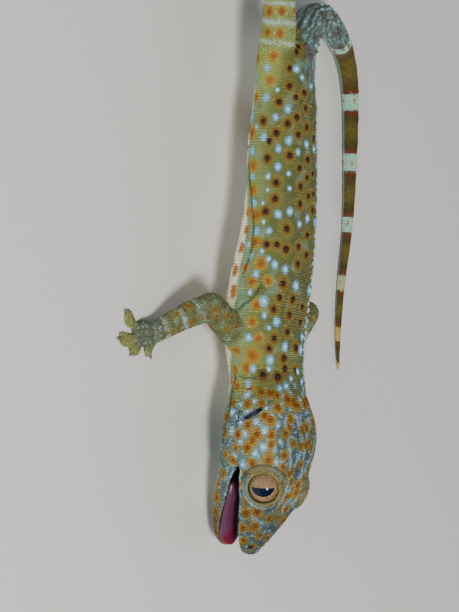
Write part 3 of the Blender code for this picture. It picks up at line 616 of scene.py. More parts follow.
# The left side, and the underside that the photo hides
for kind, rows in TRUNK_KINDS:
    for x, degrees, radius in rows:
        place, ahead = on_trunk(x + rng.uniform(-1.4, 1.4), -degrees + rng.uniform(-4, 4))
        if abs(degrees) > 14 and place is not None and clear_of_spots(place, 3.0):
            add_spot(kind, place, ahead, radius * rng.uniform(0.8, 1.05))
for kind, rows in HEAD_KINDS:
    for x, y, z, radius in rows:
        place = on_surface(from_head((x + rng.uniform(-0.7, 0.7), -y, z + rng.uniform(-0.7, 0.7))))[0]
        if clear_of_spots(place, 1.9):
            add_spot(kind, place, head_ahead, radius * rng.uniform(0.85, 1.15))
for x in np.arange(14.0, 100.0, 6.0):
    for number, degrees in enumerate((-168, -146, -125, 125, 146, 168)):
        place, ahead = on_trunk(x + 3.0 * (number % 2) + rng.uniform(-1, 1), degrees + rng.uniform(-4, 4))
        if place is not None and clear_of_spots(place, 3.6):
            add_spot("belly", place, ahead, rng.uniform(0.9, 1.3))

# Small pale points in rows down the left side of the back, and a collar behind the head
for degrees in (52, 68):
    for x in np.arange(3.0, 104.0, 3.1):
        place, ahead = on_trunk(x + rng.uniform(-0.6, 0.6), degrees + rng.uniform(-3, 3))
        if place is not None and clear_of_spots(place, 1.9):
            add_spot("blue", place, ahead, rng.uniform(0.45, 0.65))
COLLAR = (
    (-3.0, 2.5, 27.5), (-1.6, 4.6, 27.2), (0.4, 6.2, 27.0), (2.4, 4.4, 29.0),
    (1.0, 2.6, 28.6), (3.8, 7.8, 28.0), (-2.2, -0.6, 27.8), (-3.6, 6.6, 25.6),
)
for point in COLLAR:
    for side in (1.0, -1.0):
        place = on_surface(from_head(on_side(point, side)))[0]
        if clear_of_spots(place, 1.6):
            add_spot("head_blue", place, head_ahead, 0.75)

# Limbs: steps of the pale cross bands, and the spots as step, angle and radius. The far side and
# the underside continue the rows that show
LIMB_BANDS = {"hind": (1.58, 2.05, 2.46, 2.86, 3.25, 3.64, 4.03, 4.5), "fore": (3.6, 4.17, 4.79, 5.5)}
THIGH_ROUND = (150, -150, -105, -58)
SHANK_ROUND = (-150, -100, -52, -5, 45, 98, 150)
LIMB_SPOTS = {
    "hind": [
        (2.25, 97, 1.2), (2.29, 49, 1.2), (2.34, -15, 1.0),
        (1.80, 95, 1.2), (1.83, 51, 1.2), (1.88, 1, 1.0),
    ]
    + [(1.85 + 0.4 * k, degrees, 1.1) for k in range(2) for degrees in THIGH_ROUND]
    + [(2.66 + 0.39 * k, degrees + 12 * (k % 2), 1.0) for k in range(5) for degrees in SHANK_ROUND],
    "fore": [
        (4.0, 30, 0.75), (3.62, 27, 0.7), (4.6, 27, 0.6), (5.8, 20, 0.55), (3.85, -65, 0.9),
        (4.3, -60, 0.8), (3.15, 14, 0.9), (2.95, 30, 0.8), (2.8, 55, 0.7), (2.5, 20, 0.8),
        (2.2, 50, 0.8), (2.0, 10, 0.8), (2.3, -30, 0.7), (5.2, -20, 0.5), (3.3, 110, 0.8),
        (4.0, 120, 0.8), (4.7, 115, 0.7), (3.4, -130, 0.8), (4.1, -140, 0.8), (2.6, 120, 0.8),
        (2.5, -110, 0.8),
    ],
}
for key, line in limb_lines.items():
    for step, degrees, radius in LIMB_SPOTS[key[:4]]:
        index = int(np.argmin(np.abs(line.t - step)))
        place = cast(line, index, math.radians(degrees * (1 if key.endswith("right") else -1)), 9.0)
        if place is not None and clear_of_spots(place, 1.6):
            add_spot("limb", place, line.ahead[index], radius * rng.uniform(0.9, 1.1))
spot_kind, spot_place, spot_ahead, spot_radius = (np.array(part) for part in zip(*spots))

HIDE_COLOURS = {
    "back": "#5d6238", "side": "#68703a", "flank": "#88965e", "teal": "#7ea08c", "cream": "#fdfbd4",
    "back_dust": "#6e6c50", "back_brown": "#6e6a52", "hip_yellow": "#a0a850", "neck_olive": "#74804c",
    "dark_core": "#22130e", "dark_ring": "#7c5220", "dark_halo": "#8c8434",
    "orange_core": "#8a5420", "orange_ring": "#b27c24", "orange_halo": "#9e9a40",
    "belly_spot": "#b8701f", "blue_spot": "#7fc6ec", "crease_shade": "#15130f",
    "head": "#607678", "crown": "#515c60", "snout": "#4e6064", "jaw": "#586a62", "jaw_tip": "#4e3a28",
    "head_shadow": "#4a5a5c", "head_olive": "#8a8a50", "head_blue": "#93c8e6", "crown_ridge": "#a8c8d6",
    "head_core": "#5e300a", "head_ring": "#a6761a", "head_halo": "#90903e",
    "lid_shadow": "#4c5248", "lid_rim_blue": "#a8bcb4", "lid_rim_gold": "#8e7e42", "lid_blue": "#78908c",
    "lid_gold": "#94803e", "lid_dark": "#33332a", "lid_groove_shade": "#2e3028", "lid_edge": "#3a3224",
    "ear": "#6c6c88", "ear_rim_shadow": "#101014", "nostril": "#2a1836", "mouth": "#2a1216", "gum": "#70404e",
    "thigh": "#8e9650", "arm": "#6c6e46", "limb_brown": "#6a4c26", "limb_band": "#b4d0c6",
    "limb_core": "#84461c", "limb_ring": "#a6782e", "pad": "#90934e", "palm": "#545a48",
    "palm_light": "#8eb0b4", "palm_dark": "#3a4036",
    "tail": "#4e401a", "tail_middle": "#6e6424", "tail_rust": "#70390f", "tail_root": "#6a7c78",
    "tail_under": "#8fb0b0", "tail_band": "#aad6c2", "tip_band": "#c2ae5c", "band_dot": "#b87324",
    "pleat_ridge": "#80b4bc", "pleat_hollow_shade": "#2e3230", "root_brown": "#5c3c30",
}
TONE = {name: linear(code) for name, code in HIDE_COLOURS.items()}
# Kind of spot, how long, how ragged, then its rings: tone, full and no strength distance, strength
TRUNK_RINGS = (
    ("orange", 1.12, 0.22, (
        ("orange_halo", 1.1, 2.1, 0.7), ("orange_ring", 0.8, 1.45, 1.0), ("orange_core", 0.2, 1.0, 0.9),
    )),
    ("dark", 1.1, 0.2, (
        ("dark_halo", 1.5, 2.7, 0.6), ("dark_ring", 0.9, 1.9, 0.9), ("dark_core", 0.35, 1.02, 0.95),
    )),
    ("belly", 1.35, 0.18, (("belly_spot", 0.8, 1.2, 0.95),)),
    ("blue", 1.2, 0.15, (("blue_spot", 0.55, 1.3, 1.0),)),
)
# Distance of each pale band of the tail from its tip, and half its width
TAIL_BANDS = ((0.6, 1.2), (11.2, 2.1), (27.4, 2.4), (46.2, 2.4), (66.0, 2.8), (85.2, 2.5), (106.0, 1.5))
EAR_CENTRE = np.array((7.4, 13.0, 21.2))
EAR_SLANT = math.radians(57.0)
MOUTH_CORNER = 22.0


def grain(points, size, seed):
    """Smooth noise from -1 to 1, with lumps of about this size in mm."""
    scaled = (points / size + seed * 17.3).tolist()
    return np.array([noise.noise(place) for place in scaled])


def mix(under, over, share):
    return under + (over - under) * share[:, None]


def layered(colour, rows):
    """Lays tones over a colour. Each row has a tone's name and its share at each place."""
    for name, share in rows:
        colour = mix(colour, TONE[name], share)
    return colour


def spotted(colour, away, rings):
    """Lays a spot's rings over a colour, by the distance from the spot in its radii."""
    return layered(colour, [
        (name, strength * (1.0 - ease(full, none, away))) for name, full, none, strength in rings
    ])


def spot_distance(points, kind, stretch):
    """Distance to the nearest spot of a kind, in that spot's radii. Spots are a little long."""
    found = np.full(len(points), 99.0)
    rows = np.nonzero(spot_kind == KINDS.index(kind))[0]
    for start in range(0, len(points), 4000):
        part = points[start : start + 4000]
        best = found[start : start + 4000]
        for row in rows:
            rel = part - spot_place[row]
            along = rel @ spot_ahead[row]
            away = (rel**2).sum(axis=1) - along**2 * (1.0 - 1.0 / stretch**2)
            np.minimum(best, np.sqrt(np.maximum(away, 0.0)) / spot_radius[row], out=best)
    return found


def paint_trunk(points, angle, wobble, broad):
    """Olive back, yellower sides, blue-green flank and cream belly, with dark, orange and blue spots."""
    x = points[:, 0]
    around = np.abs(angle) + 4.0 * broad
    edge = 118.0 - 19.0 * ease(38.0, 56.0, x) * (1.0 - ease(80.0, 98.0, x)) + 10.0 * ease(88.0, 98.0, x)
    mottle = grain(points, 3.2, 6.0)
    trunk = layered(TONE["back"], (
        ("side", ease(18.0, 58.0, around)),
        ("back_dust", 0.4 * ease(0.05, 0.4, grain(points, 2.4, 43.0))),
        ("back_brown", 0.5 * ease(34.0, 12.0, around) * ease(-0.5, 0.3, grain(points, 5.0, 41.0))),
        ("flank", ease(64.0, 92.0, around)),
        ("teal", 0.5 * ease(0.1, 0.5, mottle)),
        ("back", 0.45 * ease(0.1, 0.5, -mottle)),
        ("hip_yellow", 0.6 * ease(60.0, 75.0, around) * (1.0 - ease(6.0, 22.0, x))),
        ("teal", 0.4 * ease(edge - 20.0, edge - 6.0, around)),
        ("neck_olive", 0.6 * ease(90.0, 100.0, x) * (1.0 - ease(88.0, 104.0, around))),
        ("cream", ease(edge - 3.0, edge + 4.0, around)),
    ))
    for kind, stretch, ragged, rings in TRUNK_RINGS:
        trunk = spotted(trunk, spot_distance(points, kind, stretch) * (1.0 + ragged * wobble), rings)
    return trunk


def ear_places(local, side):
    """Along and across the slit of one ear, and the distance sideways from its middle."""
    x, y, z = (local - on_side(EAR_CENTRE, side)).T
    c, s = math.cos(EAR_SLANT), math.sin(EAR_SLANT)
    return x * c - z * s, x * s + z * c, np.abs(y)


def paint_head(points, outward, region):
    """Blue-grey, browner on the crown, mottled and ridged with pale blue, and cream below."""
    x, _, z = to_head(points).T
    below = np.where(region == REGION["lower_jaw"], ease(-0.6, -0.95, outward[:, 2]), ease(6.4, 4.0, z))
    away, strength = ridges.near(points)
    return layered(TONE["head"], (
        ("crown", ease(26.5, 29.5, z) * ease(0.0, 8.0, x)),
        ("snout", ease(26.0, 36.0, x)),
        ("jaw", ease(15.5, 11.0, z)),
        ("cream", 0.85 * below),
        ("head_shadow", 0.5 * ease(0.0, 0.5, grain(points, 1.6, 9.0))),
        ("head_olive", 0.4 * ease(0.1, 0.6, grain(points, 2.4, 14.0))),
        ("head_blue", 0.6 * ease(0.12, 0.5, grain(points, 1.1, 12.0))),
        ("crown_ridge", 0.8 * strength * np.exp(-((away / 0.5) ** 2))),
    ))


def paint_lids(head, points, local, side):
    """Blue-grey lids with a gold upper rim, painted shade in the outer groove round them and a painted shadow
    behind.
    """
    flat, rise, back = eye_places(local, side)
    high = local[:, 2] - EYE_CENTRE[2]
    near = (rise > 0.2) & (rise < 6.5)
    rear = ease(-1.5, 2.5, back) * near * (1.0 - 0.85 * ease(2.5, 4.5, high))
    upward = high / 5.0 + 0.3 * back / 5.0 + 0.5 * grain(points, 2.2, 18.0)
    rim = near * np.exp(-(((flat - 6.2) / 0.4) ** 2))
    groove = near * np.exp(-(((flat - LID_GROOVES[1]) / 0.28) ** 2))
    head = layered(head, (
        ("lid_shadow", (0.6 * rear + 0.2 * near) * (1.0 - ease(6.6, 8.0, flat)) * ease(5.2, 6.0, flat)),
        ("lid_rim_blue", 0.7 * rim * (1.0 - rear) * ease(0.3, -0.6, upward)),
        ("lid_rim_gold", 0.7 * rim * ease(-0.3, 0.4, upward)),
        # Painted shade in the outer groove round the lid
        ("lid_groove_shade", 0.55 * groove * ease(-1.0, 0.6, upward)),
    ))
    lid = layered(TONE["lid_blue"], (
        ("lid_gold", ease(-0.6, 0.2, upward)),
        ("lid_dark", 0.7 * ease(0.0, 0.45, grain(points, 0.9, 19.0)) * ease(-3.5, 2.5, back)),
    ))
    head = mix(head, lid, near * (1.0 - ease(5.2, 5.7, flat)))
    return mix(head, TONE["lid_edge"], 0.6 * near * (1.0 - ease(4.4, 4.8, flat)))


def mark_head(head, points, outward, region, wobble):
    """The head's spots, and the colours of lids, ears, nostrils and the mouth's inside, with painted shade in
    ears, nostrils and mouth and on the snout's top.
    """
    local = to_head(points)
    x, _, z = local.T
    away = spot_distance(points, "head_blue", 1.1) * (1.0 + 0.3 * wobble)
    head = spotted(head, away, (("head_blue", 0.5, 1.5, 0.95),))
    crown = ease(28.0, 29.5, z) * ease(6.0, 10.0, x)
    away = spot_distance(points, "head_orange", 1.25) * (1.0 + 0.45 * wobble + 0.2 * crown)
    head = spotted(head, away, (("head_halo", 0.9, 2.0, 0.75), ("head_ring", 0.75, 1.35, 0.95)))
    streak = 0.5 + 0.5 * grain(points, 0.7, 15.0)
    head = mix(head, TONE["head_core"], (1.0 - ease(0.2, 1.0, away)) * (0.6 + 0.4 * streak))
    for side in (-1.0, 1.0):
        head = paint_lids(head, points, local, side)
        along, across, away = ear_places(local, side)
        hollow = (1.0 - ease(0.75, 1.1, (along / 3.9) ** 2 + (across / 1.15) ** 2)) * (away < 3.5)
        nostril = np.linalg.norm(local - on_side(NOSTRIL, side), axis=1)
        head = layered(head, (
            ("ear", hollow),
            # Painted shadow of the ear's overhanging rim
            ("ear_rim_shadow", 0.95 * hollow * ease(0.0, -1.8, along)),
            # Painted shade in the nostril's pit
            ("nostril", 1.0 - ease(0.7, 1.1, nostril)),
        ))
    jaw = region == REGION["lower_jaw"]
    inside = (x > MOUTH_CORNER) & (z < 17.4) & (z > 4.5)
    inside &= (~jaw & (outward[:, 2] < -0.45)) | (jaw & (outward[:, 2] > 0.45))
    head = layered(head, (
        ("jaw_tip", 0.65 * jaw * ease(30.0, 40.0, x)),
        # Painted shade: the inside of the mouth is near black, while the gum of the lower jaw keeps its own
        # pink
        ("mouth", inside.astype(float)),
        ("gum", 0.9 * (inside & jaw & (x > 27.0))),
    ))
    # Painted shade on the top of the snout; the crown and the nape are darkened too
    nape = ease(7.0, -1.0, x) * ease(18.0, 22.0, z)
    return head * (1.0 - 0.36 * ease(28.0, 38.0, x) * (z > 13.0) - 0.24 * crown - 0.32 * nape)[:, None]


def paint_tail(points, index, angle, wobble):
    """Pale bands with rust edges on olive brown. The pleated root is grey with pale blue ridges and painted
    shade in the hollows between them.
    """
    to_tip = spine.run[index] + 0.5 * wobble
    apart = np.min([np.abs(to_tip - band) - wide for band, wide in TAIL_BANDS], axis=0)
    tail = layered(TONE["tail"], (
        ("tail_middle", 0.8 * ease(2.0, 6.0, apart)),
        ("tail", 0.5 * ease(0.0, 0.5, grain(points, 2.0, 23.0))),
        ("tail_rust", 0.8 * (1.0 - ease(0.6, 2.8, apart)) * ease(3.0, 8.0, to_tip)),
        ("tail_root", ease(100.0, 112.0, to_tip)),
        ("tail_under", 0.8 * ease(104.0, 126.0, np.abs(angle))),
    ))
    for number, (band, wide) in enumerate(TAIL_BANDS):
        pale = TONE["tip_band"] + (TONE["tail_band"] - TONE["tip_band"]) * ease(1.0, 3.0, number)
        tail = mix(tail, pale, 1.0 - ease(wide - 0.35, wide + 0.35, np.abs(to_tip - band)))
        if number > 1:
            dots = 1.0 - ease(0.5, 1.2, np.abs(to_tip - band - 0.8 * math.sin(3.0 * number)))
            around = ease(0.5, 0.9, np.cos(np.radians(angle * 4.0 + 50.0 * number)))
            tail = mix(tail, TONE["band_dot"], 0.85 * dots * around)
    wave, strength = pleats(points, index)
    lumps = grain(points, 2.2, 20.0)
    brown = grain(np.stack([0.4 * to_tip, 0.1 * angle, 0.0 * angle], axis=1), 1.5, 22.0)
    return layered(tail, (
        ("pleat_ridge", 0.75 * strength * ease(0.1, 0.9, wave + 0.8 * lumps) * ease(-0.4, 0.2, lumps)),
        # Painted shade in the hollows of the pleats
        ("pleat_hollow_shade", 0.3 * strength * ease(0.0, -0.8, wave)),
        ("root_brown", 0.75 * ease(0.12, 0.36, brown) * ease(100.0, 108.0, to_tip)),
    ))


def paint_limb(points, key, line, region, wobble):
    """Olive yellow, browner on the arms, with pale cross bands and rows of orange-brown spots."""
    near = line.nearest(points)
    turn = line.angle(points, near)
    run = line.run[near]
    hind = key.startswith("hind")
    limb = layered(TONE["thigh" if hind else "arm"], (
        ("teal", 0.6 * ease(0.0, 0.5, grain(points, 2.0, 30.0))),
        ("limb_brown", (0.2 if hind else 0.6) * ease(0.1, 0.5, grain(points, 1.8, 33.0))),
        ("cream", 0.5 * ease(128.0, 160.0, np.abs(turn))),
    ))
    for band in LIMB_BANDS[key[:4]]:
        off = run - np.interp(band, line.t, line.run) + 0.5 * wobble
        pale = np.exp(-((off / 0.6) ** 2)) * ease(-0.75, 0.1, grain(points, 1.6, 31.0))
        limb = mix(limb, TONE["limb_band"], (0.9 if hind else 0.55) * pale)
    away = spot_distance(points, "limb", 1.1) * (1.0 + 0.3 * wobble)
    share = 1.0 if hind else 0.65
    limb = spotted(limb, away, (
        ("orange_halo", 1.1, 1.9, 0.6 * share),
        ("limb_ring", 0.7, 1.35, share),
        ("limb_core", 0.2, 0.95, 0.9),
    ))
    foot = in_regions(region, LIMB_NODES[key][2]).astype(float)
    toes = ease(3.5, 6.0, np.linalg.norm(points[:, :2] - line.centre[-1, :2], axis=1))
    speckle = grain(points, 0.65, 35.0)
    return layered(limb, (
        ("pad", 0.8 * foot * toes),
        ("palm", 0.7 * foot * (1.0 - toes)),
        ("palm_light", 0.42 * ease(0.12, 0.4, speckle) * foot * (1.0 - 0.7 * toes)),
        ("palm_dark", 0.45 * ease(0.1, 0.4, -speckle) * foot),
    )), run


def paint(points, outward, region):
    """The colour of the hide at each place, in linear light."""
    wobble = grain(points, 1.0, 1.0)
    broad = grain(points, 9.0, 2.0)
    index = spine.nearest(points)
    angle, run = spine.angle(points, index), spine.run[index]
    colour = paint_trunk(points, angle, wobble, broad)
    ahead_of_neck = to_head(points)[:, 0]
    front = in_regions(region, *HEAD_PARTS, "neck", "torso")
    on_head = ease(0.0, 8.0, ahead_of_neck + 4.0 * grain(points, 4.0, 40.0)) * front
    part = on_head > 0.0
    colour[part] = mix(colour[part], paint_head(points[part], outward[part], region[part]), on_head[part])
    part = (ahead_of_neck > -6.0) & front
    colour[part] = mark_head(colour[part], points[part], outward[part], region[part], wobble[part])
    part = in_regions(region, "tail", "hips") & (run < 178.0)
    left_hip = (1.0 - ease(162.0, 176.0, run)) * root_share(angle + 8.0 * wobble, run)
    left_hip *= ease(100.0, 70.0, angle)
    on_tail = np.maximum(1.0 - ease(136.0, 146.0, run), 0.9 * left_hip)[part]
    tail = paint_tail(points[part], index[part], angle[part], wobble[part])
    colour[part] = mix(colour[part], tail, on_tail)
    for key, line in limb_lines.items():
        part = in_regions(region, *LIMB_NODES[key], "hips" if key.startswith("hind") else "torso")
        place = points[part]
        near = line.nearest(place)
        reach = np.linalg.norm(place - line.centre[near], axis=1) / line.radius[near]
        limb, run = paint_limb(place, key, line, region[part], wobble[part])
        root = line.run[int(0.22 * len(line.run))] + 1.5 * broad[part]
        own = in_regions(region[part], *LIMB_NODES[key])
        share = np.where(own, 1.0, 1.0 - ease(0.95, 1.15, reach)) * ease(0.0, 4.0, run - root)
        colour[part] = mix(colour[part], limb, share)
    # Painted shade in the skin's creases, near black where they are deepest
    away, strength = creases.near(points)
    crease_shade = np.minimum(2.2 * strength, 0.97) * np.exp(-((away / (0.2 + 0.3 * strength)) ** 2))
    colour = mix(colour, TONE["crease_shade"], crease_shade)
    return np.clip(colour * (1.0 + 0.1 * grain(points, 0.7, 5.0))[:, None], 0.0, 1.0)


def store_colour(obj, colour):
    attribute = obj.data.color_attributes.new(name="markings", type="FLOAT_COLOR", domain="POINT")
    full = np.ones((len(colour), 4), np.float32)
    full[:, :3] = colour
    attribute.data.foreach_set("color", full.ravel())


def ink(hex_colour):
    """A colour as a shader's socket takes it."""
    return (*linear(hex_colour), 1.0)


def fill_node(material, node, settings):
    """Sets a node's properties, and its inputs by name or number. A socket as a value is linked."""
    for name, value in settings.items():
        if isinstance(name, str) and name not in node.inputs:
            setattr(node, name, value)
        elif isinstance(value, bpy.types.NodeSocket):
            material.node_tree.links.new(value, node.inputs[name])
        else:
            node.inputs[name].default_value = value


def add_node(material, kind, settings):
    made = material.node_tree.nodes.new(kind)
    fill_node(material, made, settings)
    return made


def new_material(name):
    material = bpy.data.materials.new(name)
    material.use_nodes = True
    return material


def set_surface(material, settings):
    """Settings and links of the material's own shader."""
    fill_node(material, material.node_tree.nodes["Principled BSDF"], settings)


def dress(obj, material):
    obj.data.materials.clear()
    obj.data.materials.append(material)


# Hide: thin keratin over soft skin, matt with a weak sheen of its own. Its colour is darkened as
# painted shade between the scales, and it is finely creased at about 0.45 mm, as fine as the render shows.
hide = new_material("gecko_hide")
where = add_node(hide, "ShaderNodeTexCoord", {}).outputs["Object"]
marks = add_node(hide, "ShaderNodeAttribute", {"attribute_name": "markings"}).outputs["Color"]
gap_shade = add_node(hide, "ShaderNodeMix", {
    "data_type": "RGBA", "blend_type": "MULTIPLY", "Factor": 1.0, 6: marks, 7: (0.72, 0.72, 0.70, 1.0),
})
cells = add_node(hide, "ShaderNodeTexVoronoi", {"Scale": 1.0 / (0.45 * MM), "Vector": where})
bump = add_node(hide, "ShaderNodeBump", {
    "Strength": 0.5, "Distance": 0.12 * MM, "Height": cells.outputs["Distance"],
})
set_surface(hide, {
    "Roughness": 0.62, "IOR": 1.45, "Base Color": gap_shade.outputs[2], "Normal": bump.outputs["Normal"],
})
dress(skin, hide)

points = places_of(skin)
region = regions_of(points)
store_colour(skin, paint(points, normals_of(skin), region))
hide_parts(*FLESH)
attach(skin, "root")


# Scales
# Small round granules of keratin in rings round the body, larger and flatter on the belly and the
# snout. They grow from the skin in close rows, and each is one small closed dome sunk in it.

GRANULE_PITCH = 0.64
BELLY_PITCH = 1.0
TAIL_PITCH = 0.64
LIMB_PITCH = 0.6
ARM_PITCH = 0.78
HEAD_PITCH = 0.7
TOE_PITCH = 0.56
ROW_SHARE = 0.866


def ring_places(line, index, pitch, reach, phase):
    """Even places round the skin at one step of a line, from the top down both sides."""
    found = [cast(line, index, math.pi * (k / 36.0 - 1.0), reach) for k in range(73)]
    places = []
    for half in (range(36, 72), range(36, 0, -1)):
        run, wanted = 0.0, phase * pitch
        for k in half:
            a, b = found[k], found[k + half.step]
            if a is None or b is None:
                run, wanted = 0.0, phase * pitch
                continue
            length = np.linalg.norm(b - a)
            if length > 2.5:
                continue
            while wanted <= run + length:
                places.append(a + (b - a) * ((wanted - run) / max(length, 1e-9)))
                wanted += pitch
            run += length
    return places


def pitch_at(points, region):
    """How far apart the granules stand at each place."""
    pitch = np.full(len(points), GRANULE_PITCH)
    around = np.abs(spine.angle(points, spine.nearest(points)))
    pitch += (BELLY_PITCH - GRANULE_PITCH) * ease(112.0, 128.0, around)
    local = to_head(points)
    on_head = in_regions(region, *HEAD_PARTS)
    pitch[on_head] = (HEAD_PITCH + 0.18 * ease(26.0, 40.0, local[:, 0]))[on_head]
    near = np.full(len(points), 99.0)
    for side in (-1.0, 1.0):
        near = np.minimum(near, np.linalg.norm(local - on_side(EYE_CENTRE + EYE_AXIS * 2.5, side), axis=1))
    pitch[on_head] = np.minimum(pitch, 0.5 + 0.4 * ease(5.8, 9.5, near))[on_head]
    pitch[in_regions(region, "tail")] = TAIL_PITCH
    pitch[in_regions(region, "tail_tip", "hand", "foot")] = TOE_PITCH
    pitch[in_regions(region, "thigh", "shank")] = LIMB_PITCH
    pitch[in_regions(region, "upper_arm", "forearm")] = ARM_PITCH
    return pitch


def lines_ahead(points, region):
    """The direction towards the head, or towards the root of a limb, at each place."""
    ahead = spine.ahead[spine.nearest(points)].copy()
    ahead[in_regions(region, *HEAD_PARTS)] = head_ahead
    for key, line in limb_lines.items():
        chosen = in_regions(region, *LIMB_NODES[key])
        if chosen.any():
            ahead[chosen] = -line.ahead[line.nearest(points[chosen])]
    return ahead


def rows_of_places(line, start, end, pitch, reach, slack):
    """Rings of places between two lengths of a line, with every other ring half a pitch on."""
    found = []
    for number, run in enumerate(np.arange(start, end, pitch * ROW_SHARE)):
        index = line.step_at(run)
        found += ring_places(line, index, pitch, reach * line.radius[index] + slack, 0.5 * (number % 2))
    return found


tail_end = spine.run[vent_step] - 8.0
seeds = rows_of_places(spine, tail_end, spine.run[-1] - 8.2, GRANULE_PITCH, 1.45, 1.0)
seeds += rows_of_places(spine, 2.0, tail_end, TAIL_PITCH, 1.5, 0.5)
for key, line in limb_lines.items():
    start, end = (line.run[int(share * len(line.run))] for share in (0.3, 0.86))
    seeds += rows_of_places(line, start, end, ARM_PITCH if key.startswith("fore") else LIMB_PITCH, 1.35, 0.6)

# Random places fill what the rings leave: head, toes and the folds where limbs leave the trunk
FILLER_DENSITY = 9.0
mesh = skin.data
mesh.calc_loop_triangles()
corner = np.empty(len(mesh.loop_triangles) * 3, np.int32)
mesh.loop_triangles.foreach_get("vertices", corner)
skin_points = places_of(skin)
a, b, c = (skin_points[corner.reshape(-1, 3)[:, k]] for k in range(3))
area = 0.5 * np.linalg.norm(np.cross(b - a, c - a), axis=1)
draw = np.random.default_rng(7)
count = int(area.sum() * FILLER_DENSITY)
chosen = draw.choice(len(area), count, p=area / area.sum())
u, v = draw.random(count), draw.random(count)
u, v = np.where(u + v > 1, 1 - u, u), np.where(u + v > 1, 1 - v, v)
filler = a[chosen] + (b - a)[chosen] * u[:, None] + (c - a)[chosen] * v[:, None]
candidates = np.concatenate([np.array(seeds), filler])
candidate_region = regions_of(candidates)
candidate_pitch = pitch_at(candidates, candidate_region)

# Places kept bare: the inside of mouth and ears, nostrils, lips, eye openings and soles. Each row of
# a lip has the distance from the neck, the half width and the height
UPPER_LIP = (
    (23.4, 13.0, 17.5), (26.0, 12.0, 17.2), (30.0, 10.8, 16.7), (34.5, 9.4, 15.9), (39.3, 7.8, 15.0),
    (42.6, 6.4, 14.2), (45.2, 5.0, 13.6), (46.7, 3.8, 13.5), (47.7, 2.2, 13.9), (48.0, 0.0, 14.3),
)
LOWER_LIP = (
    (24.0, 12.3, 15.6), (26.0, 11.6, 13.6), (28.5, 10.8, 12.3), (32.0, 9.7, 11.0), (35.5, 8.5, 9.4),
    (39.0, 7.1, 7.8), (42.0, 5.6, 6.7), (44.0, 4.1, 6.3), (45.2, 2.5, 6.2), (45.8, 0.0, 6.2),
)
LIP_STEP = 0.22


def evened(rows, turns):
    """Rows of a line smoothed along it, with its ends kept."""
    for _ in range(turns):
        rows[1:-1] = 0.5 * rows[1:-1] + 0.25 * (rows[2:] + rows[:-2])
    return rows


def lip_line(rows):
    """The smooth edge of one lip on the skin, from corner to corner, with the outward way and the run."""
    line = np.array(rows)
    line = np.concatenate([line, line[-2::-1] * (1.0, -1.0, 1.0)])
    run = run_along(line)
    wanted = np.linspace(0.0, run[-1], int(run[-1] / LIP_STEP))
    fine = evened(np.stack([np.interp(wanted, run, line[:, k]) for k in range(3)], axis=1), 12)
    found = [on_surface(from_head(place)) for place in fine]
    centre, out = (evened(np.array(part), 36) for part in zip(*found))
    return centre, unit(out), wanted


lip_lines = {"lip_upper": lip_line(UPPER_LIP), "lip_lower": lip_line(LOWER_LIP)}
lip_places = Lines([(centre, np.ones(len(centre)), 1.0) for centre, _, _ in lip_lines.values()])


def bare(points, region, outward_z):
    local = to_head(points)
    found = np.zeros(len(points), bool)
    for side in (-1.0, 1.0):
        flat, rise, _ = eye_places(local, side)
        found |= (rise > -3.0) & (rise < 5.6) & (flat < 5.0) & (np.hypot(flat, rise) < 5.9)
        along, across, away = ear_places(local, side)
        found |= ((along / 3.9) ** 2 + (across / 0.95) ** 2 < 1.0) & (away < 3.0)
        found |= np.linalg.norm(local - on_side(NOSTRIL, side), axis=1) < 0.95
    jaw = region == REGION["lower_jaw"]
    mouth = (local[:, 0] > 21.8) & (local[:, 2] < 17.4)
    found |= mouth & ~jaw & (outward_z < -0.35) & (local[:, 2] > 10.0)
    found |= mouth & jaw & (outward_z > 0.35)
    found |= (lip_places.near(points)[0] < 0.42) & (local[:, 0] > 23.5)
    # Scales are left off the creases, so that their painted shade shows
    away, strength = creases.near(points)
    found |= (away < 0.34) & (strength > 0.3)
    found |= (points[:, 2] < 0.5) & in_regions(region, "hand", "foot")
    return found


def to_surface(points):
    """The nearest places on the skin, with their outward directions."""
    found = [surface.find_nearest(Vector(place)) for place in in_metres(points).tolist()]
    return from_metres(np.array([f[0] for f in found])), np.array([f[1] for f in found])


# A place is taken unless an earlier one stands within 0.8 of its pitch. Cells make the search quick
CELL = 0.85
allowed = ~bare(candidates, candidate_region, to_surface(candidates)[1][:, 2])
spacing = ((0.8 * candidate_pitch) ** 2).tolist()
cells = np.floor(candidates / CELL).astype(int).tolist()
shifts = [(i, j, k) for i in (-1, 0, 1) for j in (-1, 0, 1) for k in (-1, 0, 1)]
flat = candidates.tolist()
taken, kept = {}, []
for number in np.nonzero(allowed)[0].tolist():
    x, y, z = flat[number]
    ci, cj, ck = cells[number]
    reach = spacing[number]
    free = True
    for i, j, k in shifts:
        for ox, oy, oz in taken.get((ci + i, cj + j, ck + k), ()):
            if (x - ox) ** 2 + (y - oy) ** 2 + (z - oz) ** 2 < reach:
                free = False
                break
        if not free:
            break
    if free:
        taken.setdefault((ci, cj, ck), []).append((x, y, z))
        kept.append(number)


def neighbours(points, count):
    tree = tree_of(points.tolist())
    return np.array([[near[1] for near in tree.find_n(place, count + 1)[1:]] for place in points.tolist()])


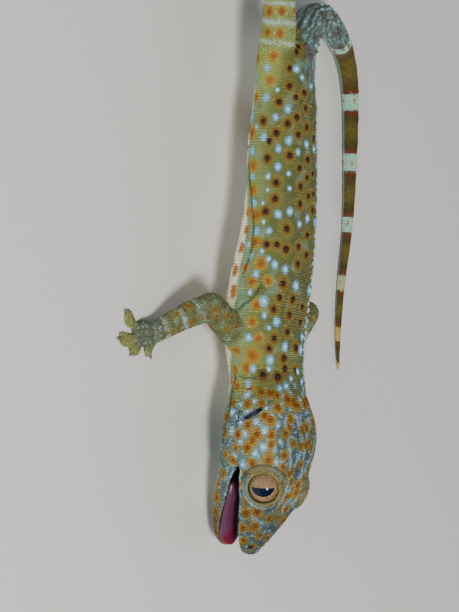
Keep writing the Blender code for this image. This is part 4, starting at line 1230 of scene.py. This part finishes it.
# The scales push one another into even rows
roots = candidates[kept]
pitch = candidate_pitch[kept]
for _ in range(3):
    near = neighbours(roots, 7)
    for _ in range(3):
        apart = roots[:, None] - roots[near]
        gap = np.linalg.norm(apart, axis=2)
        push = np.clip(1.0 - gap / (1.04 * pitch[:, None]), 0.0, 1.0) / np.maximum(gap, 1e-6)
        roots = roots + 0.5 * pitch[:, None] * (apart * push[:, :, None]).sum(axis=1)
    roots, outward = to_surface(roots)
near = neighbours(roots, 6)
gap = np.linalg.norm(roots[:, None] - roots[near], axis=2)
breadth = 0.55 * np.clip(gap[:, :5].mean(axis=1), 0.6 * pitch, 1.35 * pitch)
outward = unit(outward + outward[near].sum(axis=1) * 0.5)
region = regions_of(roots)
ahead = lines_ahead(roots, region)


def tube_faces(rings, sides):
    """Faces of a closed tube, with its two ends filled."""
    faces = [(0, k + 1, k) for k in range(1, sides - 1)]
    for ring in range(rings - 1):
        for k in range(sides):
            a, b = ring * sides + k, ring * sides + (k + 1) % sides
            faces += [(a, b, b + sides), (a, b + sides, a + sides)]
    last = (rings - 1) * sides
    return np.array(faces + [(last, last + k, last + k + 1) for k in range(1, sides - 1)])


def domes(places, outward, ahead, width, length, height, tilt, profile, sides, back=0.12):
    """Closed domes that lean so that their rear edges stand out. The profile lists each ring's share
    of the radius, share of the height, and depth sunk in mm."""
    across = unit(np.cross(outward, ahead))
    up = unit(outward + np.cross(across, outward) * tilt[:, None])
    along = np.cross(across, up)
    rows = []
    for share, rise, sunk in profile:
        middle = places + up * (height * rise - sunk)[:, None] - along * (length * back * rise)[:, None]
        for k in range(sides):
            turn = 2 * math.pi * (k + 0.5) / sides
            spoke = across * (width * math.cos(turn) * share)[:, None]
            spoke = spoke + along * (length * math.sin(turn) * share)[:, None]
            rows.append(middle + spoke)
    rows.append(places + up * height[:, None] - along * (length * back)[:, None])
    open_end = sides - 2
    top = (len(profile) - 1) * sides
    cap = [(top + k, top + (k + 1) % sides, top + sides) for k in range(sides)]
    return np.stack(rows, axis=1), np.concatenate([tube_faces(len(profile), sides)[:-open_end], cap])


def joined(name, made, faces):
    """One object of many like shapes."""
    count, size = made.shape[:2]
    triangles = (faces[None] + (np.arange(count) * size)[:, None, None]).reshape(-1, 3)
    mesh = bpy.data.meshes.new(name)
    mesh.vertices.add(count * size)
    mesh.vertices.foreach_set("co", in_metres(made.reshape(-1, 3)).ravel())
    mesh.loops.add(triangles.size)
    mesh.loops.foreach_set("vertex_index", triangles.ravel().astype(np.int32))
    mesh.polygons.add(len(triangles))
    mesh.polygons.foreach_set("loop_start", np.arange(0, triangles.size, 3, dtype=np.int32))
    mesh.update(calc_edges=True)
    mesh.shade_smooth()
    obj = bpy.data.objects.new(name, mesh)
    bpy.context.scene.collection.objects.link(obj)
    return obj


def unwrapped(places, region):
    """Where each root lies on a flat map of the skin: along the body and round it."""
    index = spine.nearest(places)
    flat = np.stack([spine.run[index] / spine.run[-1], (spine.angle(places, index) + 180.0) / 360.0], axis=1)
    local = to_head(places)
    chosen = in_regions(region, *HEAD_PARTS)
    turn = np.degrees(np.arctan2(local[:, 1], local[:, 2] - 15.0)) / 360.0 + 0.5
    flat[chosen] = np.stack([local[:, 0] / 50.0, turn], axis=1)[chosen]
    for number, (key, line) in enumerate(limb_lines.items()):
        chosen = in_regions(region, *LIMB_NODES[key])
        near = line.nearest(places[chosen])
        round_it = (line.angle(places[chosen], near) + 180.0) / 360.0
        flat[chosen] = np.stack([0.6 * line.run[near] / line.run[-1], (number + round_it) / 4.0], axis=1)
        chosen = in_regions(region, LIMB_NODES[key][2])
        spread = (places[chosen, :2] - line.centre[-1, :2]) / 34.0 + 0.5
        flat[chosen] = np.stack([0.6 + 0.4 * spread[:, 0], (number + spread[:, 1]) / 4.0], axis=1)
    return np.clip(flat, 0.003, 0.997)


def store_map(obj, flat, name="OFBake"):
    """A UV map, from one place of the flat map for each point of the mesh."""
    layer = obj.data.uv_layers.new(name=name)
    corners = np.empty(len(obj.data.loops), np.int32)
    obj.data.loops.foreach_get("vertex_index", corners)
    layer.data.foreach_set("uv", flat[corners].astype(np.float32).ravel())


def store_patches(obj, made, places, region):
    """A small patch of the map for each scale, round its root's place."""
    reach = np.linalg.norm(made - made.mean(axis=1)[:, None], axis=2).max()
    turn = 2 * math.pi * np.arange(made.shape[1]) / made.shape[1]
    spoke = np.stack([np.cos(turn), np.sin(turn)], axis=1) * 0.0015
    offset = np.linalg.norm(made - places[:, None], axis=2) / reach
    flat = unwrapped(places, region)[:, None] + spoke[None] * np.clip(offset, 0.2, 1.0)[:, :, None]
    store_map(obj, flat.reshape(-1, 2))


def store_shaded(obj, colour, shade):
    """Gives each dome its own colour, times one share for each of its points, as painted shade below one and
    painted highlight above it.
    """
    store_colour(obj, (colour[:, None] * shade[None, :, None]).reshape(-1, 3))


# Keratin of the scales: dry and satin, catching a soft light along each dome, with a fine dust
scale_keratin = new_material("scale_keratin")
where = add_node(scale_keratin, "ShaderNodeTexCoord", {}).outputs["Object"]
marks = add_node(scale_keratin, "ShaderNodeAttribute", {"attribute_name": "markings"}).outputs["Color"]
dust = add_node(scale_keratin, "ShaderNodeTexNoise", {
    "Scale": 1.0 / (0.25 * MM), "Detail": 3.0, "Vector": where,
})
bump = add_node(scale_keratin, "ShaderNodeBump", {
    "Strength": 0.25, "Distance": 0.04 * MM, "Height": dust.outputs["Fac"],
})
set_surface(scale_keratin, {
    "Roughness": 0.55, "IOR": 1.46, "Specular IOR Level": 0.3, "Base Color": marks,
    "Normal": bump.outputs["Normal"],
})

GRANULE = ((1.0, 0.0, 0.1), (0.78, 0.66, 0.0))
TUBERCLE = ((1.0, 0.0, 0.16), (0.82, 0.36, 0.0), (0.42, 0.82, 0.0))
GRANULE_HEIGHTS = (
    (("tail",), 0.17), (("tail_tip",), 0.11), (("upper_arm", "forearm"), 0.26),
    (("hand", "foot"), 0.13), (HEAD_PARTS, 0.18),
)
around = np.abs(spine.angle(roots, spine.nearest(roots)))
belly = ease(108.0, 124.0, around) * in_regions(region, "torso", "neck", "hips")
height = np.full(len(roots), 0.19) - 0.08 * belly
for starts, high in GRANULE_HEIGHTS:
    height[in_regions(region, *starts)] = high
height *= draw.uniform(0.85, 1.15, len(roots)) * np.clip(breadth / 0.34, 0.6, 1.2)
tilt = 0.08 + 0.14 * belly

# Large keeled tubercles stand in rows among the granules of back, nape, tail and hind legs
tubercles = []


def add_tubercle(place, radius, height):
    if place is not None and all(np.linalg.norm(place - t[0]) > 1.9 for t in tubercles):
        tubercles.append((place, radius * rng.uniform(0.85, 1.15), height * rng.uniform(0.8, 1.2)))


for number, x in enumerate(np.arange(-1.0, 102.0, 2.0)):
    place = on_trunk(x + rng.uniform(-0.1, 0.1), 43.0 + 5.0 * (number % 2) + rng.uniform(-1, 1))[0]
    add_tubercle(place, 0.92, 0.62)
for kind, place, _, radius in spots:
    if KINDS[kind] in ("blue", "dark") and place[2] > 19.0:
        add_tubercle(place, 0.4 + 0.4 * radius, 0.35 + 0.28 * radius)
for number, degrees in enumerate((-76, -62, -48, -35, -22, -8, 8, 22, 35, 48, 62, 76)):
    for x in np.arange(0.5 + 2.2 * (number % 2), 103.0, 4.4):
        place = on_trunk(x + rng.uniform(-0.6, 0.6), degrees + rng.uniform(-3, 3))[0]
        on_outline = 44.0 < degrees < 64.0
        add_tubercle(place, 0.7 if on_outline else 0.52, 0.55 if on_outline else 0.42)
for number, run in enumerate(np.arange(40.0, spine.run[vent_step] + 2.0, 4.1)):
    index = spine.step_at(run)
    size = min(1.0, 0.2 + 0.13 * spine.radius[index])
    for degrees in (-64, -38, -13, 13, 38, 64):
        place = cast(spine, index, math.radians(degrees + 6.0 * (number % 2)), 12.0)
        add_tubercle(place, 0.72 * size, 0.75 * size)
for line in (limb_lines["hind_right"], limb_lines["hind_left"]):
    for number, run in enumerate(np.arange(line.run[40], line.run[125], 3.0)):
        for degrees in (-70, -30, 10, 50):
            place = cast(line, line.step_at(run), math.radians(degrees + 20.0 * (number % 2)), 7.0)
            add_tubercle(place, 0.5, 0.36)
for x, y, z, _ in HEAD_BLUE:
    for side in (1.0, -1.0) if x < 24.0 else ():
        add_tubercle(on_surface(from_head((x, y * side, z)))[0], 0.55, 0.34)
tubercle_place, tubercle_radius, tubercle_height = (np.array(part) for part in zip(*tubercles))
tubercle_tree = tree_of(tubercle_place)
found = [tubercle_tree.find(place) for place in roots.tolist()]
keep = np.array([f[2] > 0.62 * tubercle_radius[f[1]] + 0.2 for f in found])
roots, outward, ahead, breadth, height, tilt, region = (
    part[keep] for part in (roots, outward, ahead, breadth, height, tilt, region)
)

spread = 0.12 + 0.14 * in_regions(region, "upper_arm", "forearm", "hand", "neck")
colour = paint(roots, outward, region) * (1.0 + spread * draw.uniform(-1.0, 1.0, len(roots)))[:, None]
# Painted shade and highlight on each granule: darker base ring, darkest at its rear edge, and a lighter top
shade = np.array([0.84, 0.88, 0.84, 0.62, 0.52, 0.62, 1.0, 1.02, 1.0, 0.92, 0.86, 0.92, 1.05])
x = roots[:, 0]
front = in_regions(region, "torso", "neck")
pieces_of_coat = {
    "scales_head": in_regions(region, *HEAD_PARTS),
    "scales_shoulders": front & (x > 76.0),
    "scales_ribs": front & (x <= 76.0) & (x > 50.0),
    "scales_loins": front & (x <= 50.0),
    "scales_hips": in_regions(region, "hips"),
    "scales_hind_legs": in_regions(region, "thigh", "shank", "foot"),
    "scales_tail": in_regions(region, "tail"),
    "scales_arms": in_regions(region, "upper_arm", "forearm", "hand"),
}
for name, part in pieces_of_coat.items():
    made, faces = domes(
        roots[part], outward[part], ahead[part], breadth[part] * 1.04, breadth[part],
        height[part], tilt[part], GRANULE, 6,
    )
    coat = joined(name, made, faces)
    store_patches(coat, made, roots[part], region[part])
    # The painted shade is stronger on the arms
    store_shaded(coat, colour[part], shade ** (2.4 if name == "scales_arms" else 1.35))
    dress(coat, scale_keratin)
    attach(coat, "root")

places, outward = to_surface(tubercle_place)
region = regions_of(places)
made, faces = domes(
    places, outward, lines_ahead(places, region), tubercle_radius, tubercle_radius * 1.12,
    tubercle_height, np.full(len(places), 0.1), TUBERCLE, 8, back=0.2,
)
tubercle_rows = joined("tubercles", made, faces)
store_patches(tubercle_rows, made, places, region)
colour = paint(places, outward, region)
light = ease(0.14, 0.4, colour.mean(axis=1))
angle = spine.angle(places, spine.nearest(places))
outline = np.exp(-(((angle - 48.0) / 12.0) ** 2)) * in_regions(region, "torso", "neck", "hips")
pale = mix(mix(colour, linear("#c4def0"), 0.3 * light), linear("#acd0e4"), 0.9 * outline)
# Painted shade at each tubercle's base and a painted highlight at its tip
store_shaded(tubercle_rows, pale, np.repeat((0.8, 0.95, 1.05, 1.18), (8, 8, 8, 1)))
dress(tubercle_rows, scale_keratin)
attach(tubercle_rows, "root")


# Lips and lids
# One row of smooth lip scales along each jaw, fused to a beaded rim, and a fringe of small scales
# round each eye opening, which takes the place of a moving lid.

LIP_SIDES = 12
LIP_THICKNESS = 0.5
LIP_SCALE_LENGTH = 1.8
FRINGE_COUNT = 60
PLATE = ((1.0, 0.0, 0.15), (0.86, 0.75, 0.0), (0.5, 0.97, 0.0))


def lip_rim(centre, out, run):
    """A closed bead along one lip, from corner to corner round the snout, nicked between its scales."""
    side = unit(np.cross(unit(np.gradient(centre, axis=0)), out))
    ends = np.minimum(np.minimum(run, run[-1] - run) / 1.5, 1.0)
    nick = 1.0 - 0.05 * np.exp(-((((run % LIP_SCALE_LENGTH) - 0.5 * LIP_SCALE_LENGTH) / 0.16) ** 2))
    thick = LIP_THICKNESS * np.sqrt(np.maximum(ends, 0.02)) * nick
    turn = 2 * math.pi * np.arange(LIP_SIDES) / LIP_SIDES
    spokes = out[:, None] * np.cos(turn)[None, :, None] * 0.8 + side[:, None] * np.sin(turn)[None, :, None]
    made = (centre - out * 0.16)[:, None] + spokes * thick[:, None, None]
    return made.reshape(1, -1, 3), np.repeat(nick, LIP_SIDES)


def face_outward(obj):
    pick(obj)
    bpy.ops.object.mode_set(mode="EDIT")
    bpy.ops.mesh.select_all(action="SELECT")
    bpy.ops.mesh.normals_make_consistent(inside=False)
    bpy.ops.object.mode_set(mode="OBJECT")


for name, line in lip_lines.items():
    made, nick = lip_rim(*line)
    piece = joined(name, made, tube_faces(len(line[0]), LIP_SIDES))
    face_outward(piece)
    places = made[0]
    region = np.full(len(places), REGION["head" if name == "lip_upper" else "lower_jaw"])
    store_map(piece, unwrapped(places, region))
    # The nicks between the lip scales are darkened as painted shade
    store_colour(piece, paint(places, np.zeros_like(places), region) * (1.0 - 2.5 * (1.0 - nick))[:, None])
    dress(piece, scale_keratin)
    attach(piece, "root")


def eye_turn(side):
    """The axis of one eye, and the turn that lays an upright shape along it."""
    axis = Vector(from_head(on_side(EYE_AXIS, side)) - HEAD_BASE)
    return axis, Vector((0.0, 0.0, 1.0)).rotation_difference(axis)


fringe = []
for side in (-1.0, 1.0):
    axis, turn = eye_turn(side)
    centre = Vector(from_head(on_side(EYE_CENTRE, side)))
    for k in range(FRINGE_COUNT):
        angle = 2 * math.pi * k / FRINGE_COUNT
        spoke = turn.to_matrix() @ Vector((math.cos(angle), math.sin(angle), 0.0))
        place = on_surface(np.array(centre + axis * 3.05 + spoke * 4.72))[0]
        fringe.append((place, np.array(axis * 0.75 - spoke * 0.25), np.array(spoke)))
place, out, way = (np.array(part) for part in zip(*fringe))
wide, long, high, flat = (np.full(len(place), size) for size in (0.27, 0.36, 0.22, 0.0))
made, faces = domes(place, unit(out), way, wide, long, high, flat, PLATE, 6, back=0.0)
piece = joined("eye_fringe", made, faces)
store_patches(piece, made, place, regions_of(place))
colour = linear("#7c7344") * draw.uniform(0.8, 1.15, (len(place), 1))
# Painted shade at each fringe scale's base, and a little painted highlight at its top
store_shaded(piece, colour, np.repeat((0.6, 0.95, 1.05, 1.08), (6, 6, 6, 1)))
dress(piece, scale_keratin)
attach(piece, "root")


# Eyes
# Each eye is a ball under a clear fixed spectacle, with a gold and copper iris and an upright slit
# pupil, straight towards the tail and bowed towards the snout.

BULGE = 0.3


def new_eye(side, label):
    """A ball with the bulge of its spectacle, and a map that runs upwards and towards the snout."""
    centre = from_head(on_side(EYE_CENTRE, side))
    axis, turn = eye_turn(side)
    bpy.ops.object.select_all(action="DESELECT")
    bpy.ops.mesh.primitive_uv_sphere_add(
        segments=96, ring_count=64, radius=EYE_RADIUS * MM, calc_uvs=False,
        location=in_metres(centre), rotation=turn.to_euler(),
    )
    eye = bpy.context.active_object
    eye.name = "eyeball_" + label
    bpy.ops.object.transform_apply(location=True, rotation=True, scale=True)
    bpy.ops.object.shade_smooth()
    rel, axis = places_of(eye) - centre, np.array(axis)
    forward = head_ahead - axis * float(np.dot(head_ahead, axis))
    forward /= np.linalg.norm(forward)
    upright = np.cross(axis, forward) * -side
    rise = rel @ axis
    set_places(eye, centre + rel * (1.0 + BULGE * ease(0.5, 1.0, rise / EYE_RADIUS) / EYE_RADIUS)[:, None])
    flat = np.stack([rel @ upright, rel @ forward], axis=1) / (2 * EYE_RADIUS) + 0.5
    flat[rise < 0] = 0.0
    store_map(eye, flat, "iris")
    return eye


# Eye: wet, clear and hard, so a sharp small highlight lies over a metallic-looking iris. Its map is
# read from -1 to 1 over the ball: up is upwards, and on is towards the snout
iris = new_material("gecko_iris")
flat_map = add_node(iris, "ShaderNodeUVMap", {"uv_map": "iris"}).outputs["UV"]
centred = add_node(iris, "ShaderNodeVectorMath", {
    "operation": "MULTIPLY_ADD", 0: flat_map, 1: (2.0, 2.0, 0.0), 2: (-1.0, -1.0, 0.0),
}).outputs["Vector"]
split = add_node(iris, "ShaderNodeSeparateXYZ", {"Vector": centred})
up, on = split.outputs["X"], split.outputs["Y"]
away = add_node(iris, "ShaderNodeVectorMath", {"operation": "LENGTH", 0: centred}).outputs["Value"]
turn = add_node(iris, "ShaderNodeMath", {"operation": "ARCTAN2", 0: up, 1: on}).outputs[0]
polar = add_node(iris, "ShaderNodeCombineXYZ", {"X": turn, "Y": away}).outputs["Vector"]
stretched = add_node(iris, "ShaderNodeVectorMath", {"operation": "MULTIPLY", 0: polar, 1: (5.0, 3.0, 1.0)})
fibres = add_node(iris, "ShaderNodeTexNoise", {
    "Scale": 2.6, "Detail": 5.0, "Roughness": 0.65, "Vector": stretched.outputs["Vector"],
}).outputs["Fac"]
veins = add_node(iris, "ShaderNodeTexNoise", {"Scale": 9.0, "Detail": 3.0, "Vector": flat_map}).outputs["Fac"]
colour = ink("#4a3626")
for source, low, gain, code in (
    (fibres, 0.3, 2.4, "#b49870"), (veins, 0.5, 3.0, "#6c442a"), (away, 0.9, 14.0, "#2a2014"),
):
    share = add_node(iris, "ShaderNodeMapRange", {
        "Value": source, "From Min": low, "From Max": low + 1.0 / gain,
    })
    colour = add_node(iris, "ShaderNodeMix", {
        "data_type": "RGBA", 0: share.outputs["Result"], 6: colour, 7: ink(code),
    }).outputs[2]

# The pupil in shares of the eye's radius: its front edge is half an ellipse, and its rear is straight
PUPIL_HALF_HEIGHT = 0.66
PUPIL_BOW = 0.56
PUPIL_MIDDLE = -0.14
PUPIL_REAR = -0.13
PUPIL_BLUR = 0.025
squared = add_node(iris, "ShaderNodeMath", {"operation": "MULTIPLY", 0: up, 1: up}).outputs[0]
left_over = add_node(iris, "ShaderNodeMath", {
    "operation": "MULTIPLY_ADD", "use_clamp": True, 0: squared, 1: -1.0 / PUPIL_HALF_HEIGHT**2, 2: 1.0,
}).outputs[0]
root = add_node(iris, "ShaderNodeMath", {"operation": "SQRT", 0: left_over}).outputs[0]
bow = add_node(iris, "ShaderNodeMath", {
    "operation": "MULTIPLY_ADD", 0: root, 1: PUPIL_BOW, 2: PUPIL_MIDDLE,
}).outputs[0]
inside = add_node(iris, "ShaderNodeMath", {"operation": "SUBTRACT", 0: bow, 1: on}).outputs[0]
before = add_node(iris, "ShaderNodeMapRange", {"Value": inside, "From Min": 0.0, "From Max": PUPIL_BLUR})
behind = add_node(iris, "ShaderNodeMapRange", {
    "Value": on, "From Min": PUPIL_REAR, "From Max": PUPIL_REAR + PUPIL_BLUR,
})
pupil = add_node(iris, "ShaderNodeMath", {
    "operation": "MULTIPLY", 0: before.outputs["Result"], 1: behind.outputs["Result"],
})
marked = add_node(iris, "ShaderNodeMix", {
    "data_type": "RGBA", 0: pupil.outputs[0], 6: colour, 7: ink("#04142e"),
})
set_surface(iris, {
    "Roughness": 0.3, "IOR": 1.38, "Specular IOR Level": 0.0, "Coat Weight": 1.0, "Coat Roughness": 0.02,
    "Coat IOR": 1.34, "Base Color": marked.outputs[2],
})
for side, label in ((-1.0, "right"), (1.0, "left")):
    eye = new_eye(side, label)
    dress(eye, iris)
    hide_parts("eye_" + label)
    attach(eye, "root")


# Tongue
# A broad fleshy tongue on the floor of the mouth, wet, mauve on top and red-pink at its tip.

tongue = melted_copy("tongue_flesh", "tongue", ["tongue"], 0.35, 0.3)
add_modifier(tongue, "SMOOTH", factor=0.6, iterations=14)
apply_modifiers(tongue)
bpy.ops.object.shade_smooth()
points = places_of(tongue)
x, y, _ = to_head(points).T
mottle = grain(points, 2.5, 8.0)
across = y + 2.0 + 0.5 * mottle
# Painted shade: the far side of the tongue turns dark maroon
colour = mix(linear("#542a44"), linear("#300816"), ease(0.8, 3.0, across))
# Painted highlight: a lighter mauve stripe along the tongue's top
colour = mix(colour, linear("#744c6e"), 0.7 * np.exp(-(((across + 0.6) / 0.7) ** 2)))
# Painted shade: near black towards the tongue's root, deep in the mouth
colour = mix(colour, linear("#240610"), 1.0 - ease(25.5, 29.5, x + mottle))
colour = mix(colour, linear("#600426"), 0.95 * ease(37.5, 40.5, x + 1.2 * mottle + 1.1 * across))
colour = mix(colour, linear("#6e1014"), 0.8 * ease(43.8, 45.2, x + 0.6 * mottle))
store_colour(tongue, colour)

# Tongue flesh: soft and wet, so it is smooth with a clear coat and a little light in it
flesh = new_material("tongue_flesh_wet")
marks = add_node(flesh, "ShaderNodeAttribute", {"attribute_name": "markings"}).outputs["Color"]
where = add_node(flesh, "ShaderNodeTexCoord", {}).outputs["Object"]
papillae = add_node(flesh, "ShaderNodeTexNoise", {"Scale": 1.0 / (0.5 * MM), "Detail": 2.0, "Vector": where})
bump = add_node(flesh, "ShaderNodeBump", {
    "Strength": 0.3, "Distance": 0.08 * MM, "Height": papillae.outputs["Fac"],
})
set_surface(flesh, {
    "Roughness": 0.38, "IOR": 1.4, "Coat Weight": 0.3, "Coat Roughness": 0.2, "Subsurface Weight": 0.15,
    "Subsurface Radius": (0.0012, 0.0005, 0.0004), "Subsurface Scale": 1.0, "Base Color": marks,
    "Normal": bump.outputs["Normal"],
})
dress(tongue, flesh)
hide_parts("tongue")
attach(tongue, "root")


# Claws
# A small hooked claw on every toe but the first, horny and dark, growing from the top of the pad.

# Palm, the limb's heading in degrees, then each clawed toe: turn from the heading and length
TOES = (
    ((85.2, -47.2), -92.0, ((122.0, 7.6), (50.0, 7.8), (9.0, 10.9), (-38.0, 9.8))),
    ((101.8, 16.8), 6.0, ((58.0, 8.6), (14.0, 9.6), (-32.0, 10.6), (-80.0, 10.0))),
    ((-28.2, -23.4), -112.0, ((-80.0, 9.8), (-38.0, 11.2), (4.0, 12.2), (52.0, 11.2))),
    ((12.8, 31.0), 160.0, ((-86.0, 9.0), (-42.0, 10.6), (4.0, 11.2), (52.0, 9.6))),
)
# Rings of one claw from root to tip: place along it in its half lengths, radius and height
CLAW_RINGS = (
    (-0.9, 0.32, 0.62), (-0.3, 0.34, 0.86), (0.3, 0.27, 0.88), (0.75, 0.17, 0.66), (1.05, 0.04, 0.36),
)
CLAW_SIDES = 8
CLAW_REACH = 1.15
made = []
for palm, heading, toes in TOES:
    for turn, length in toes:
        angle = math.radians(heading + turn)
        way = np.array((math.cos(angle), math.sin(angle), 0.0))
        across = np.array((-way[1], way[0], 0.0))
        root = np.array((*palm, 0.0)) + way * length
        claw = []
        for share, thick, rise in CLAW_RINGS:
            centre = root + way * CLAW_REACH * share + (0.0, 0.0, rise)
            for k in range(CLAW_SIDES):
                spin = 2 * math.pi * k / CLAW_SIDES
                claw.append(centre + thick * (across * math.cos(spin) + (0.0, 0.0, math.sin(spin))))
        made.append(claw)
claws = joined("claws", np.array(made), tube_faces(len(CLAW_RINGS), CLAW_SIDES))
face_outward(claws)

# Claw horn: grey-brown keratin, smooth and a little glossy
horn = new_material("claw_horn")
where = add_node(horn, "ShaderNodeTexCoord", {}).outputs["Object"]
streaks = add_node(horn, "ShaderNodeTexNoise", {"Scale": 1.0 / (0.3 * MM), "Detail": 2.0, "Vector": where})
tones = add_node(horn, "ShaderNodeMix", {
    "data_type": "RGBA", 0: streaks.outputs["Fac"], 6: ink("#4a4234"), 7: ink("#8a7d62"),
})
set_surface(horn, {"Roughness": 0.35, "IOR": 1.54, "Base Color": tones.outputs[2]})
dress(claws, horn)
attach(claws, "root")


# Studio
# A pale floor, a key lamp high over the head's right side, a weak wide fill from the camera's side, a
# faint rim from the left, and a camera that looks across the animal from its right as the photo does.

bpy.ops.object.select_all(action="DESELECT")
bpy.ops.mesh.primitive_grid_add(x_subdivisions=4, y_subdivisions=4, size=12.0, location=(0.0, 0.0, 0.0))
floor = bpy.context.active_object
floor.name = "floor"

# Studio paper: matt and pale, with a faint fibre
paper = new_material("studio_paper")
where = add_node(paper, "ShaderNodeTexCoord", {}).outputs["Object"]
fibre = add_node(paper, "ShaderNodeTexNoise", {"Scale": 1.0 / (2.0 * MM), "Detail": 2.0, "Vector": where})
tones = add_node(paper, "ShaderNodeMix", {
    "data_type": "RGBA", 0: fibre.outputs["Fac"], 6: ink("#d9d8d4"), 7: ink("#dfdeda"),
})
set_surface(paper, {"Roughness": 0.85, "Base Color": tones.outputs[2]})
dress(floor, paper)

LOOK_AT = Vector(in_metres(np.array((77.4, -10.8, 5.8))))
CAMERA_RISE = math.radians(35.0)
CAMERA_DISTANCE = 0.9
to_camera = Vector((0.0, -math.cos(CAMERA_RISE), math.sin(CAMERA_RISE)))
right = Vector((0.0, math.sin(CAMERA_RISE), math.cos(CAMERA_RISE)))
bpy.ops.object.camera_add(location=LOOK_AT + to_camera * CAMERA_DISTANCE)
camera = bpy.context.active_object
camera.rotation_euler = Matrix((right, Vector((-1.0, 0.0, 0.0)), to_camera)).transposed().to_euler()
camera.data.lens = 178.0
camera.data.sensor_width = 36.0
camera.data.clip_start = 0.01
bpy.context.scene.camera = camera


def add_lamp(name, place, target, size, power, colour):
    """A square soft lamp. Only the key lamp shows in the wet eye."""
    bpy.ops.object.light_add(type="AREA", location=place)
    lamp = bpy.context.active_object
    lamp.name = name
    lamp.rotation_euler = (Vector(place) - Vector(target)).to_track_quat("Z", "Y").to_euler()
    lamp.data.size = size
    lamp.data.energy = power
    lamp.data.color = colour
    lamp.visible_glossy = name == "key_lamp"


add_lamp("key_lamp", (0.33, -0.56, 0.76), (0.03, -0.01, 0.015), 0.22, 9.4, (1.0, 0.97, 0.93))
add_lamp("fill_lamp", (0.0, -1.0, 0.22), (0.0, -0.01, 0.015), 0.5, 3.4, (0.94, 0.97, 1.0))
add_lamp("rim_lamp", (0.1, 0.7, 0.6), (0.0, 0.0, 0.015), 0.5, 1.6, (0.9, 0.96, 1.0))
world = bpy.data.worlds.new("studio")
world.use_nodes = True
background = world.node_tree.nodes["Background"]
background.inputs["Color"].default_value = (0.86, 0.9, 0.95, 1.0)
background.inputs["Strength"].default_value = 0.2
bpy.context.scene.world = world

bpy.context.view_layer.update()
